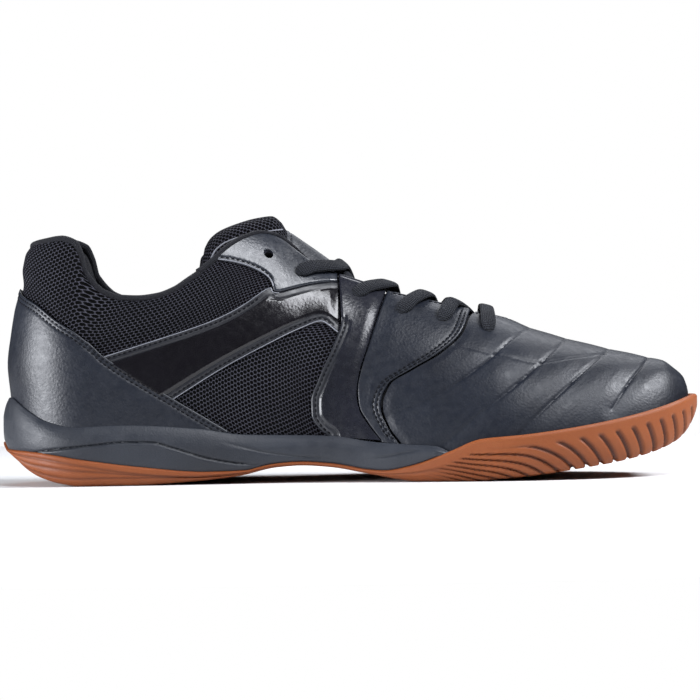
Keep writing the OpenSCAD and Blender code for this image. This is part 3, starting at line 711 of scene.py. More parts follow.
def chain_mesh(across, up):
    """Thick spacer mesh: staggered holes, across by up mm apart, between round threads; the holes are near
    black, for the dark layer behind them and painted shade inside them.
    """
    s = Shade("mesh", Specular_IOR_Level=0.06)
    split = s.node("SeparateXYZ", {0: s.coords(cloth=True)})
    row = s.calc("DIVIDE", split.outputs[1], up * CLOTH_MM)
    step = s.calc("MULTIPLY", s.calc("FLOOR", row), 0.45)
    column = s.calc("ADD", s.calc("DIVIDE", split.outputs[0], across * CLOTH_MM), step)
    u = s.calc("SUBTRACT", s.calc("FRACT", column), 0.5)
    v = s.calc("SUBTRACT", s.calc("FRACT", row), 0.5)
    u, v = (s.calc("POWER", s.calc("ABSOLUTE", s.calc("MULTIPLY", part, 2.1)), 2.4) for part in (u, v))
    ring = s.fit(s.calc("ADD", u, v), 0.25, 1.15)
    twist = s.calc("SINE", s.calc("MULTIPLY", s.calc("ADD", column, row), 18.0))
    height = s.calc("ADD", ring, s.calc("MULTIPLY", twist, 0.05))
    # Holes near black: partly the dark layer behind the mesh, partly painted shade inside the holes
    tint = s.ramp(ring, (0.0, srgb(0, 0, 0)), (0.4, srgb(5, 5, 6)), (1.0, srgb(66, 66, 75)))
    worn = s.fit(s.noise(60, 3), 0.35, 0.7, 0.0, 0.25)
    s.set(Base_Color=s.blend(worn, tint, srgb(14, 14, 17)), Roughness=s.fit(ring, 0, 1, 0.9, 0.5))
    s.bump(height, 0.7)
    return s.material


def gum():
    """Gum rubber: warm, slightly see-through, with painted shade in its grooves, darker by their depth."""
    s = Shade("gum_rubber", Specular_IOR_Level=0.4, Subsurface_Weight=0.12, Subsurface_Scale=0.6 * MM)
    s.shader.inputs["Subsurface Radius"].default_value = (1.0, 0.45, 0.25)
    groove = s.mark("groove")
    drift = s.fit(s.noise(22, 4), 0.3, 0.7)
    colour = s.blend(drift, srgb(121, 60, 22), srgb(131, 68, 27))
    # Painted shade: the colour darkens with each groove's depth
    colour = s.blend(s.calc("MULTIPLY", groove, 0.9), colour, srgb(58, 24, 14))
    speck = s.fit(s.noise(900, 3), 0.6, 0.85, 0.0, 0.25)
    colour = s.blend(speck, colour, srgb(108, 54, 26))
    s.set(Base_Color=colour, Roughness=s.fit(s.noise(140, 3), 0.3, 0.7, 0.5, 0.64))
    s.bump(s.noise(1400, 4), 0.09)
    s.bump(s.noise(240, 3), 0.12)
    return s.material


def painted_foam():
    """Midsole foam under a thin coat of paint, with painted shade in its carved lines."""
    s = Shade("midsole_foam", Specular_IOR_Level=0.45)
    drift = s.fit(s.noise(24, 3), 0.3, 0.7)
    colour = s.blend(drift, srgb(29, 32, 39), srgb(40, 44, 52))
    groove = s.mark("groove")
    # Painted shade: the colour darkens with each carved line's depth
    colour = s.blend(s.calc("MULTIPLY", groove, 0.8), colour, srgb(20, 22, 26))
    s.set(Base_Color=colour, Roughness=s.fit(s.noise(200, 4), 0.3, 0.7, 0.42, 0.56))
    s.bump(s.cells(1500), 0.05)
    s.bump(s.noise(500, 4), 0.08)
    return s.material


def cellular(name, dark, light, scale=700, depth=0.3, rough=0.85):
    """Open foam or pressed fibre board."""
    s = Shade(name, Specular_IOR_Level=0.25, Roughness=rough)
    pits = s.cells(scale)
    # Colour darker in the pits: painted shade
    colour = s.blend(s.fit(pits, 0.0, 0.8), srgb(*dark), srgb(*light))
    s.set(Base_Color=s.blend(s.fit(s.noise(60, 4), 0.35, 0.7, 0, 0.3), colour, srgb(*dark)))
    s.bump(pits, depth)
    return s.material


def thread_material(name, dark, light):
    """Waxed sewing thread with a fine twist."""
    s = Shade(name, Specular_IOR_Level=0.1)
    twist = s.noise(3200, 2)
    # Colour lighter on the twist's raised parts and darker in its dips: painted shade
    colour = s.blend(twist, srgb(*dark), srgb(*light))
    s.set(Base_Color=colour, Roughness=s.fit(twist, 0.3, 0.7, 0.55, 0.75))
    s.bump(twist, 0.08)
    return s.material


def aglet_material():
    """Dark plastic film, a little scuffed."""
    s = Shade("aglet", Specular_IOR_Level=0.5, Coat_Weight=0.4, Coat_Roughness=0.1)
    colour = s.blend(s.noise(400, 2), srgb(18, 18, 20), srgb(34, 34, 38))
    s.set(Base_Color=colour, Roughness=s.fit(s.noise(700, 3), 0.3, 0.7, 0.22, 0.4))
    s.bump(s.noise(900, 2), 0.03)
    return s.material


GRAIN = leather("grain_leather", (17, 20, 28), (25, 29, 38), 0.4, grain=0.07, gloss=0.43)
VAMP = leather("vamp_grain", (16, 19, 27), (24, 28, 37), 0.43, grain=0.06, gloss=0.32)
STAY = leather("stay_leather", (22, 25, 32), (32, 36, 45), 0.3, coat=0.2, coat_rough=0.22, grain=0.06)
GLOSS = leather("gloss_leather", (13, 12, 15), (18, 17, 21), 0.17, grain=0.03, trim=0.2)
SATIN = leather("satin_leather", (21, 22, 27), (30, 31, 39), 0.25, grain=0.04, trim=0.14)
MESH = chain_mesh(1.7, 1.6)
LINING = woven("lining", (9, 9, 11), (34, 35, 40), 0.8, depth=0.25, sheen=0.06)
BINDING = woven("binding", (10, 10, 13), (34, 35, 41), 0.55, rough=0.6, depth=0.18, sheen=0.04)
LACE = woven("lace_cloth", (4, 5, 7), (46, 49, 57), 0.8, rough=0.7, depth=0.6, sheen=0.04)
THREAD = thread_material("thread", (6, 6, 9), (22, 23, 28))
GUM = gum()
FOAM_SOLE = painted_foam()
SOFT_FOAM = cellular("foam", (12, 12, 14), (28, 29, 33))
BOARD = cellular("board", (176, 160, 128), (214, 200, 170), 1600, 0.08)
STIFFENER = cellular("stiffener", (150, 144, 128), (196, 190, 172), 1900, 0.06)
SOLE_FOAM = cellular("insole_foam", (58, 60, 66), (96, 98, 106))
SOLE_CLOTH = woven("insole_cloth", (14, 14, 16), (46, 47, 52), 0.9, cloth=False)
BACKING = cellular("backing", (10, 10, 12), (26, 26, 30), 1900, 0.06)
AGLET = aglet_material()
LIGHT_SEAM = thread_material("seam_cord", (96, 97, 104), (136, 137, 144))
# Pale leather of the edge cords: a painted highlight along the rolled panel edges
EDGE_HIGHLIGHT_PAINT = leather("edge_highlight_paint", (104, 106, 114), (132, 134, 142), 0.33, grain=0.05)


# ---------------------------------------------------------------- sole

# Thickness of the rubber under the foot and at its wall, and of the midsole's lip
RUBBER_T = 3.2
RUBBER_WALL = 2.6
LIP_T = 1.0


def bottom(x):
    return curve(BOTTOM_LINE, x)


def rubber_top(x):
    return np.maximum(curve(RUBBER_LINE, x), bottom(x) + 1.5)


def rubber_floor(x):
    """Height of the rubber's inner floor."""
    return np.minimum(bottom(x) + RUBBER_T, mix(bottom(x), rubber_top(x), 0.75))


def half_outline(u, inset):
    """Half outline of the sole: u runs to 1 round the heel, to 2 along the side and to 3 round the toe."""
    u, inset = np.broadcast_arrays(np.asarray(u, float), np.asarray(inset, float))
    heel, toe = np.radians(90 * np.clip(u, 0, 1)), np.radians(90 * np.clip(u - 2, 0, 1))
    power = 2 / TOE_POWER
    side_x = mix(HEEL_X, TOE_X, np.clip(u - 1, 0, 1))
    cosine = np.where(u >= 3, 0, np.maximum(np.cos(toe), 0))
    x = np.where(u < 1, HEEL_X - (HEEL_REACH - inset) * np.cos(heel),
                 np.where(u <= 2, side_x, TOE_X + (TOE_REACH - inset) * np.sin(toe) ** power))
    half = np.where(u < 1, (curve(HALF_WIDTH, HEEL_X) - inset) * np.sin(heel),
                    np.where(u <= 2, curve(HALF_WIDTH, side_x) - inset,
                             (curve(HALF_WIDTH, TOE_X) - inset) * cosine ** power))
    return x, half


def outline_places(step):
    """Values of u at even steps along the outline, and the distance run at each of them."""
    u = np.linspace(0, 3, 3001)
    run = run_along(np.stack(half_outline(u, 0), -1))
    even = np.linspace(0, run[-1], int(run[-1] / step) + 1)
    return np.interp(even, run, u), even


def around(values):
    """Values along the medial side from heel to toe, then along the lateral side back."""
    return np.concatenate([values, values[-2:0:-1]])


def loop_row(u, inset, height, reach=1.0):
    """One row of points around the sole; reach draws it in towards the centre line."""
    x, half = half_outline(u, inset)
    z = np.broadcast_to(height, x.shape)
    medial, lateral = (np.stack([x, centre(x) + side * half * reach, z], -1) for side in (MEDIAL, LATERAL))
    return np.concatenate([medial, lateral[-2:0:-1]])


def lofted(name, node, slot, rows, grooves, material):
    """Solid through rows of points that close around, its groove depths marked for the material's painted
    shade.
    """
    rows = np.array(rows)
    faces = grid_faces(len(rows), rows.shape[1], closed=True).tolist()
    obj = build(name, rows.reshape(-1, 3), faces, material, marks={"groove": np.array(grooves)},
                weld=5e-6, angle=45)
    place(obj, "root", slot, node)


RIB_PITCH = 6.5
RIB_DEPTH = 1.15
# How far the ribs lean, mm along for each mm up, against x
RIB_LEAN = [(34, 4.4), (55, 2.9), (75, 1.5), (95, 0.85), (120, 0.5), (145, 0.3)]
RIB_GROOVE = 0.15
TREAD_PITCH = 6.5
GROOVE_WIDTH = 0.17
# Middle and radius of the tread's pivot circle
PIVOT_X = 62
PIVOT_R = 24


def wave_groove(phase, width):
    """1 in the middle of a groove and 0 between grooves, for a phase that counts grooves."""
    return 1 - ease(np.abs(phase - np.round(phase)), width * 0.45, width * 1.35)


def side_ribs(x, run, height, share):
    """Groove depth share on the rubber's side: curved blades at the forefoot, flowing lines at the heel."""
    from_bottom = height - bottom(x)
    phase = (run + curve(RIB_LEAN, x) * from_bottom) / RIB_PITCH
    below_band = ease(rubber_top(x) - height, 3.6, 5.4)
    blades = wave_groove(phase, RIB_GROOVE) * below_band * ease(x, 28, 48)
    flow = np.zeros_like(x)
    for k, level in enumerate((0.3, 0.52, 0.74)):
        line = level + 0.07 * np.sin(x / 17 + 1.3 * k) - 0.1 * ease(x, -120, -60) * (k - 1)
        flow += bell(share, line, 0.055)
    flow *= 0.5 * (1 - ease(x, -50, -15)) * ease(x, -146, -138)
    crest = bell(share, 0.45 + 0.1 * np.sin(x / 14), 0.07) * 0.35 * ease(x, 0, 14) * (1 - ease(x, 30, 46))
    return blades + flow + crest


def tread(x, y):
    """Groove depth share under the sole: herringbone blocks with a pivot circle at the ball of the foot."""
    zigzag = 3.2 * np.abs((y / 9 + 100.25) % 1 - 0.5) * 2
    bars = wave_groove((x + zigzag) / TREAD_PITCH, GROOVE_WIDTH)
    pivot = np.hypot(x - PIVOT_X, y - centre(PIVOT_X) + 6)
    rings = wave_groove(pivot / TREAD_PITCH + 0.5, GROOVE_WIDTH)
    inside = 1 - ease(pivot, PIVOT_R - 0.5, PIVOT_R + 0.5)
    ground = mix(bars, rings, inside)
    arch = ease(x, -52, -44) * (1 - ease(x, 2, 10))
    channel = bell(np.abs(y - centre(x)), 15, 1.2) * arch
    return ground * (1 - arch) + channel


# The rubber's wall from bottom to top: how far it stands in, and its share of the height
BOTTOM_INSET = 5.0
WALL_INSET = [(0, BOTTOM_INSET), (0.1, 3.4), (0.25, 1.8), (0.45, 0.6), (0.7, 0), (0.9, 0), (1, 0.35)]
WALL_SHARE = [(0, 0), (0.1, 0.04), (0.25, 0.17), (0.45, 0.4), (0.7, 0.68), (0.9, 0.93), (1, 1)]


def outsole_underside(u, run, far):
    """Rows from the centre line out to the bottom edge, with tread, toe teeth and fine nubs at the arch."""
    low = bottom(far)
    for reach in np.concatenate([np.linspace(0, 0.9, 40), [0.93, 0.96, 0.985]]):
        row = loop_row(u, BOTTOM_INSET, low, reach)
        x, y = row[:, 0], row[:, 1]
        teeth = around(wave_groove(run / RIB_PITCH, GROOVE_WIDTH))
        cut = mix(tread(x, y) * (1 - ease(reach, 0.9, 0.97)), 1.5 * teeth, ease(x, 86, 92))
        nubs = around(wave_groove(run / 2.6, 0.26)) * ease(x, -24, -18) * (1 - ease(x, 3, 9))
        cut += 0.5 * nubs * (1 - cut)
        row[:, 2] += RIB_DEPTH * cut
        yield row, cut


def outsole_wall(u, run, far):
    """Rows up the outside of the rubber, with its ribs and toe teeth."""
    low, top = bottom(far), rubber_top(far)
    for f in np.linspace(0, 1, 40):
        share = curve(WALL_SHARE, f)
        height = mix(low, top, share)
        rib = side_ribs(far, run, height, share)
        tooth = (1 - ease(f, 0, 0.3)) * ease(far, 80, 92)
        depth = RIB_DEPTH * rib * mix(0.75, 1, ease(far, 55, 100))
        yield loop_row(u, curve(WALL_INSET, f) + depth, height + depth * tooth * 1.4), around(rib)


def outsole_cup(u, far):
    """Rows over the rubber's top edge, down its inside and across the floor under the midsole."""
    top, floor = rubber_top(far), rubber_floor(far)
    for inset, rise in ((0.75, 0.28), (1.3, 0.34), (RUBBER_WALL - 0.4, 0.2), (RUBBER_WALL, 0)):
        yield loop_row(u, inset, top + rise)
    flat = bottom(far) + RUBBER_T
    for reach, share in ((1, 0), (0.9, 0.3), (0.5, 1), (0, 1)):
        yield loop_row(u, RUBBER_WALL + 0.3, mix(floor, flat, share), reach)


def make_outsole():
    u, run = outline_places(0.65)
    far = half_outline(u, 0)[0]
    rows = [*outsole_underside(u, run, far), *outsole_wall(u, run, far)]
    rows += [(row, np.zeros(len(row))) for row in outsole_cup(u, far)]
    rows, grooves = zip(*rows)
    lofted("rubber_outsole", "outsole", "gum_rubber", rows, grooves, GUM)


# Lines carved into the midsole's side: height against x
CREASE = [(-137, 12.6), (-125.5, 14.6), (-105, 16.7), (-91, 17.8), (-81, 17.6), (-72, 15.2), (-58, 10.7),
          (-44, 8.2), (-34, 7.4)]
CREASE_FRONT = [(-55, 18), (-44, 15), (-30, 12), (-16, 10.4), (-4, 10.1)]
CREASE_TOE = [(4, 9.2), (14, 10.4), (24, 12.2), (33, 14.2)]
# Each carved line of the midsole with its depth
CREASES = ((CREASE, 0.8), (CREASE_FRONT, 0.35), (CREASE_TOE, 0.4))
# How far the midsole's wall stands in, from the rubber up to the lip
MIDSOLE_WALL = [(0, 0.75), (0.08, 0.25), (0.3, 0), (0.55, 0.05), (0.75, 0.65), (0.9, 1.5), (1, 2.4)]


def carved(x, height):
    """Depth of the creases at a height on the midsole's side, and how far the foam swells below them."""
    carve, swell = np.zeros_like(x), np.zeros_like(x)
    for line, depth in CREASES:
        first, last = line[0][0], line[-1][0]
        fade = ease(x, first, first + 14) * (1 - ease(x, last - 14, last))
        above = height - curve(line, x)
        carve += depth * bell(above, 0, 0.55) * fade
        swell += 0.75 * depth * np.exp(-np.maximum(-above, 0) / 2.2) * (above < 0) * fade
    return carve, swell


def make_midsole():
    """Foam wall over the rubber cup, which goes inside the upper from the arch to the toe."""
    u = outline_places(0.85)[0]
    x = half_outline(u, 0)[0]
    low, top = rubber_top(x) + 0.35, curve(LIP_LINE, x)
    floor, deck = rubber_floor(x) + 0.3, board(x)
    flat = bottom(x) + RUBBER_T + 0.3
    tucked = ease(x, 34, 46)
    behind = RUBBER_WALL + 0.7
    rows, grooves = [], []

    def add(inset, height, mark=0.0, reach=1.0):
        rows.append(loop_row(u, inset, height, reach))
        grooves.append(around(np.broadcast_to(np.asarray(mark, float), u.shape)))

    for reach, height in ((0, flat), (0.5, flat), (0.95, floor)):
        add(behind + 0.2, height, reach=reach)
    add(behind, mix(low, mix(floor, deck, 0.3), tucked))
    for f in np.linspace(0, 1, 44):
        height = mix(low, top, f)
        carve, swell = carved(x, height)
        add(mix(curve(MIDSOLE_WALL, f) + carve - swell, behind, tucked),
            mix(height, mix(floor, deck, mix(0.45, 0.9, f)), tucked), carve * (1 - tucked))
    for inset, rise in ((2.6, 0.3), (2.95, 0.42), (3.3, 0.3), (3.5, -0.2)):
        add(mix(inset, behind + 0.4, tucked), mix(top + rise, mix(floor, deck, 0.95), tucked))
    for reach in (1, 0.5, 0):
        add(mix(2.7 + LIP_T, behind + 1.5, tucked), deck, reach=reach)
    lofted("shaped_midsole", "midsole", "midsole_foam", rows, grooves, FOAM_SOLE)


# ---------------------------------------------------------------- vamp

# Pressed fold lines of the vamp, seen from the side
FOLDS = [[(14.5, 26), (16.6, 27.2), (31.6, 32.9), (41.6, 38.6), (55.6, 48.3), (67.6, 58), (76.6, 63)],
         [(38, 14.9), (51, 25.6), (74, 44), (84.4, 52.8), (92, 58.6)],
         [(68, 18.5), (81, 31), (98, 45.6), (109.5, 54)],
         [(107, 28.5), (115, 39.4), (125.5, 50)]]
CROSS_FOLD = [(43.8, 55.4), (59.6, 51.7), (76.4, 48), (91.3, 49.2), (106, 51.5)]


def side_line(points, side, count=240):
    """Skin places along a side-view line."""
    flat = rail(points, np.linspace(0, len(points) - 1, count))
    w = side * wall_of(flat[:, 0])
    return w, np.clip(fraction(w, flat[:, 1]), 0, 1)


def toe_places(rear, around_steps, up_steps, low=0.01):
    """Places around the toe: columns from the medial rear edge round the tip, and rows up to the ridge."""
    half = around_steps // 2
    k, j = np.meshgrid(np.arange(around_steps + 1), np.arange(up_steps + 1), indexing="ij")
    t = mix(low, 1, np.sin(np.radians(90 * j / up_steps)))
    share = np.sin(np.radians(90 * (1 - np.abs(k - half) / half)))
    share[half] = 1
    x = mix(curve(rear, t), TOE_X + TOE_REACH - FOOT_INSET, share)
    return x, t, np.where(k < half, MEDIAL, LATERAL), share


def toe_skin(x, t, side, share, d):
    """Points of the toe at a depth; near the tip the surface moves out with its depth."""
    x = np.where(share >= 1, x + d, x + d * np.clip(share, 0, 1) ** 8)
    t = np.where(t > 0.99999, 1, t)
    return skin(side * wall_of(x), t, d)


# Height fractions between which the vamp's rear edge leaves the saddles and becomes the throat's edge
THROAT = (0.94, 0.965)


def vamp_relief(points, t):
    """Depth of the outer face on the vamp's medial half: folds, puffs between them and a turned throat."""
    out = np.full(t.shape, VAMP_OUT)
    from_fold = np.full(t.shape, FAR_AWAY)
    ridge_top = ease(t, 0.8, 1.0)
    for fold in FOLDS:
        line = skin(*side_line(fold, MEDIAL), VAMP_OUT)
        away = nearest(points, line)
        from_fold = np.minimum(from_fold, away)
        upper = ease(points[..., 2], line[:, 2].min() + 4, line[:, 2].max() - 4)
        out -= (0.5 + 0.35 * upper) * np.exp(-(away / 0.62) ** 1.3) * (1 - 0.5 * ridge_top)
    out -= 0.3 * bell(nearest(points, skin(*side_line(CROSS_FOLD, MEDIAL), VAMP_OUT)), 0, 0.8)
    out += 0.5 * ease(from_fold, 0.6, 7) * (1 - 0.7 * ridge_top)
    rear_edge = nearest(points, points[0])
    throat = ease(t, *THROAT)
    out -= rolled(rear_edge) * throat
    out -= 0.5 * (1 - ease(rear_edge, 0, 3.5)) * (1 - throat)
    return out - 0.25 * bell(rear_edge, 1.6, 0.5) * throat


def make_vamp():
    x, t, side, share = toe_places(VAMP_REAR, 496, 128)
    half = x.shape[0] // 2 + 1
    points = toe_skin(x, t, MEDIAL, share, VAMP_OUT)
    medial = vamp_relief(points[:half], t[:half])
    out = np.concatenate([medial, medial[-2::-1]])
    inner = toe_skin(x, t, side, share, BASE_IN)
    obj = shell("vamp_leather", toe_skin(x, t, side, share, out), inner, VAMP, angle=60)
    seams = []
    for s in SIDES.values():
        punch(obj, s, [EYELETS[0]])
        up = np.linspace(0.945, 0.999, 120)
        seams.append(on_skin((s * wall_of(curve(VAMP_REAR, up) + 1.5), up), VAMP_OUT - 0.1))
    place(obj, "root", "grain_leather", "vamp")
    stitching("throat_stitching", seams)


# ---------------------------------------------------------------- overlays of each side

def matched(low, high):
    """Points of one outline that stand opposite the other outline's points."""
    share = [(x - high[0][0]) / (high[-1][0] - high[0][0]) for x, _ in high]
    places = [low[0][0] + f * (low[-1][0] - low[0][0]) for f in share]
    return [(x, float(curve(low, x))) for x in places]


# Outlines of the panels, seen from the side
STRAP_UNDERSIDE = [(-76.2, 32.2), (-52.7, 46.7), (-33.7, 56.7), (-19, 63.6), (-11.2, 66.2), (-4, 61.5)]
STRAP_HIGH = [(-104.6, 51.6), (-88, 56.7), (-76, 60.4), (-64, 64.2), (-54, 67.9), (-43, 73.6),
              (-36.8, 77.9), (-33.4, 80.1), (-31.7, 80.6), (-30.9, 78.9), (-28, 78.5), (-24, 79.5),
              (-14, 81.9), (-4, 83)]
STRAP_LOW = matched(STRAP_UNDERSIDE, STRAP_HIGH)
SADDLE_REAR = [(-8, 18.8), (-12, 21.7), (-15.5, 27.5), (-15.6, 33.4), (-12.4, 42.3), (-5.7, 57.2),
               (-2.7, 66), (-3, 76), (-3.4, 85.6)]
SADDLE_FRONT = [(12.5, 17), (7.5, 23.5), (3.8, 30), (3, 36), (4.2, 44.5), (7.5, 54.5), (10.4, 63.6),
                (13.3, 72), (16, 79)]
FACING_REAR = [(12.9, 16.4), (7.6, 24), (3.8, 31.5), (3.4, 39), (5.4, 47.5), (8.6, 57), (12, 67),
               (16.6, 78.9)]
FACING_FRONT = [(20.4, 15.2), (15.5, 22.2), (12.6, 31), (15.8, 40), (24.8, 45.8), (36.8, 52.6),
                (45.9, 60.4), (51, 70.6)]
EYESTAY_LOW = [(-53, 92.6), (-46.5, 91.5), (-40.5, 89.7), (-35.2, 87.1), (-31.9, 84.3), (-30.8, 82),
               (-30.3, 79.4), (-28, 79), (-24, 80), (-14, 82.4), (-4.2, 83.6)]
EYESTAY_HIGH = [(-54, 93.6), (-49.5, 97.7), (-44.5, 100.9), (-39.5, 102.9), (-35, 103.6), (-31, 103),
                (-28, 101.8), (-25, 100), (-20.5, 96.2), (-13.5, 91.1), (-4.2, 87)]
# Distance of the two stitch rows from the edge
OUTER_ROW = 1.4
INNER_ROW = 3.1
# How much higher a panel stands where it laps over the strap
LAP = 0.5


def highlight_cord(name, lines, d, size=0.45):
    """Thin pale cord along an edge: a painted highlight on the panel's rolled edge."""
    parts = [tube(skin(w, t, d), skin_normal(w, t, d), size, size, sides=8, power=2) for w, t in lines]
    place(joined(name, parts, EDGE_HIGHLIGHT_PAINT), "root", "grain_leather")


def make_overlays():
    heel = HeelPanel(None, None, 0, span=(-HEEL_TOP[-1][0], HEEL_TOP[-1][0]))
    overlay("heel_leather", "heel_overlay", heel, GRAIN, "grain_leather", {"b": "over"},
            [("b", OUTER_ROW, (1, 1)), ("b", INNER_ROW, (4, 4))], puff=0.4, top=OVERLAY_OUT + LAP)
    for word, side in SIDES.items():
        strap = Panel(STRAP_LOW, STRAP_HIGH, side)
        overlay(f"gloss_strap_{word}", f"strap_{word}", strap, GLOSS, "gloss_leather",
                {"a": "over", "b": "over", "start": "under", "end": "under"},
                [("a", 1.6, (2, 3)), ("b", 1.6, (2, 30))], strip=3.3)
        overlay(f"gloss_saddle_{word}", f"saddle_{word}", Panel(SADDLE_REAR, SADDLE_FRONT, side), SATIN,
                "satin_leather", {"a": "over", "b": "under", "end": "over"},
                [("a", 1.7, (2, 22)), ("end", 1.3, (1, 1))], side, [EYELETS[3]], top=OVERLAY_OUT + LAP,
                strip=3.4, strip_along="a", strip_until=(64, 70))
        overlay(f"eyelet_facing_{word}", f"facing_{word}", Panel(FACING_REAR, FACING_FRONT, side), GRAIN,
                "grain_leather", {"a": "over", "b": "over", "end": "over"},
                [("b", OUTER_ROW, (2, 2)), ("b", INNER_ROW, (3, 2)), ("end", 1.5, (2, 5))], side,
                EYELETS[1:3], puff=0.3)
        eyestay = Panel(EYESTAY_LOW, EYESTAY_HIGH, side)
        overlay(f"eyestay_leather_{word}", f"eyestay_{word}", eyestay, STAY, "grain_leather",
                {"a": "over", "b": "over", "start": "over", "end": "under"},
                [("a", OUTER_ROW, (1, 30))], side, [EYELETS[4], SPARE_EYELET], solver="EXACT")
        # Pale cords along the strap's and eyestay's edges: painted highlights
        highlight_lines = [strap.line("a", 0.25), strap.line("b", 0.25, (0, 22)), eyestay.line("a", 0.25, (0, 28))]
        highlight_cord(f"panel_edge_highlights_{word}", highlight_lines, OVERLAY_OUT - 0.35)


# ---------------------------------------------------------------- quarters, collar and linings

# Height of the leather's edge below the collar's mesh, against x
COLLAR_FLOOR = [(-145, 83), (-137, 81.5), (-100.3, 54), (-76, 60.5), (-52.4, 68.2), (-31, 76.6),
                (-15, 80.5)]
# Height and thickness of the collar's padding, and the wall position where the collar meets the eyestay
PAD_H = 27.0
COLLAR_PAD = 8.0
COLLAR_END = 137
UP = np.array([0, 0, 1.0])


def quarter_places(across, up, drop, low, side):
    """Places of one side's cloth, from the middle of the heel to the vamp and up to the collar's edge."""
    i, j = np.meshgrid(np.arange(across + 1) / across, np.arange(up + 1) / up, indexing="ij")
    w = i * (wall_of(curve(LINING_REAR, 0.95 * j)) - 1.5)
    top = fraction(w, curve(TOP_LINE, w) - drop)
    t = np.sin(mix(np.arcsin(low), np.arcsin(np.clip(top, 0, 1)), j))
    return side * w, t


def height_of(w, t):
    """Height of places on the outermost surface."""
    x = x_of(w)
    return mix(board(x), ridge(x, SKIN_D), t)


def pad_at(w, t):
    """How far the collar's padding pushes the lining inwards."""
    wall = np.abs(w)
    v = np.clip((curve(TOP_LINE, wall) - height_of(w, t)) / PAD_H, 0, 1)
    return (COLLAR_PAD * mix(1, 0.45, ease(wall, 60, COLLAR_END)) * (1 - ease(wall, 132, 150))
            * np.maximum(0, np.sin(np.pi * v ** 0.75)) ** 0.8)


def cloth_map(points, turn=0.0):
    """Cloth map in mm: distance along the middle row and up each column, turned by an angle."""
    rows, columns = points.shape[:2]
    steps = np.cumsum(np.linalg.norm(np.diff(points, axis=1), axis=2), 1)
    v = np.concatenate([np.zeros((rows, 1)), steps], 1)
    u = np.broadcast_to(run_along(points[:, columns // 2])[:, None], v.shape)
    c, s = math.cos(math.radians(turn)), math.sin(math.radians(turn))
    return np.stack([c * u - s * v, s * u + c * v], -1)


def collar_bulge(w, t):
    """Padding of the collar's outer mesh, between the leather below it and the edge above."""
    x, z, wall = x_of(w), height_of(w, t), np.abs(w)
    heel = HEEL_X - 33 * np.cos(np.radians(np.clip(wall, 0, HEEL_TURN)))
    low = curve(COLLAR_FLOOR, np.where(wall < HEEL_TURN, heel, x))
    high = np.minimum(curve(TOP_LINE, wall), np.where(x > -53, curve(EYESTAY_LOW[:5], x), 200))
    return 1.5 * ease(z - low, 0.5, 8) * ease(high - z, 0, 6) * (1 - ease(x, -46, -36))


def make_quarters():
    for word, side in SIDES.items():
        w, t = quarter_places(250, 120, 1.2, 0.01, side)
        points = skin(w, t, BASE_OUT + collar_bulge(w, t))
        obj = shell(f"quarter_fabric_{word}", points, skin(w, t, BASE_IN), MESH,
                    cloth_map(points, 24 * side), angle=70)
        punch(obj, side, EYELETS[2:] + [SPARE_EYELET])
        place(obj, "root", "mesh", f"quarter_mesh_{word}")
        w, t = quarter_places(150, 70, 2.2, 0.03, side)
        pad = pad_at(w, t)
        points = skin(w, t, -pad)
        obj = shell(f"quarter_inside_{word}", points, skin(w, t, LINING_T - pad), LINING, cloth_map(points),
                    angle=70)
        punch(obj, side, EYELETS[1:] + [SPARE_EYELET])
        place(obj, "root", "lining", f"quarter_lining_{word}")


def make_collar_foam():
    w, f = np.meshgrid(np.linspace(-136, 136, 181), np.linspace(0, 1, 31), indexing="ij")
    edge = curve(TOP_LINE, np.abs(w))
    t = fraction(w, mix(edge - PAD_H, edge - 3, f))
    obj = shell("collar_padding", skin(w, t, STIFF_IN + STIFFENER_T), skin(w, t, STIFF_IN - pad_at(w, t)),
                SOFT_FOAM, step=2)
    place(obj, "root", "foam", "collar_foam")


def make_binding():
    """Rolled cloth over the collar's edge, with a seam below it."""
    w = np.linspace(-COLLAR_END, COLLAR_END, 500)
    z = curve(TOP_LINE, np.abs(w)) - 0.5
    edge = tube(skin(w, fraction(w, z), 1.5), UP, 3.3, 3.0)
    place(joined("collar_edge_binding", [edge], BINDING), "root", "binding", "collar_binding")
    t = fraction(w, z - 2.3)
    stitching("collar_stitching", [(skin(w, t, BASE_OUT + 0.25), skin_normal(w, t, BASE_OUT))], pitch=2.6)


def make_throat_piping():
    """Rolled binding along the eyestays' top edges, on from the collar's binding."""
    w = np.linspace(136.5, 181, 120)
    t = fraction(w, curve(TOP_LINE, w) + 0.3)
    size = mix(3.0, 2.3, ease(w, COLLAR_END, 150)) * mix(1, 0.5, ease(w, 172, 181))
    for word, side in SIDES.items():
        path = skin(side * w, t, mix(1.6, 2.9, ease(w, 138, 150)))
        place(joined(f"throat_piping_{word}", [tube(path, UP, size, size)], BINDING), "root", "binding")


# ---------------------------------------------------------------- tongue

# Rear end of the tongue, and where its leather meets its mesh tip
TONGUE_REAR = -61.0
TONGUE_SPLIT = -25.0
# Outer and inner face of the tongue's foam
FOAM_OUT = -TONGUE_FACE_T - GAP
FOAM_IN = FOAM_OUT - TONGUE_PAD
# Points under the tongue's arch from which outward directions start
UNDER_TIP = np.array([-45, 5, 60.0])
UNDER_TONGUE = np.array([-10, 5, 45.0])
# Seam around the padded roll of the tongue's tip, from the side
TIP_SEAM = [(-57.6, 86), (-57, 91), (-55.5, 95.5), (-52, 99), (-46, 101.6), (-38, 103.4), (-31, 104.6),
            (-25.5, 105.4)]


def tongue_skin(x, t, side, d):
    """Points of the tongue at a depth above its face."""
    y = (wall_half(x, 0) - TONGUE_INSET + d) * rounding(t, curve(TONGUE_ROUND, x))
    return np.stack([x, centre(x) + side * y, mix(board(x), curve(TONGUE_LINE, x) + d, t)], -1)


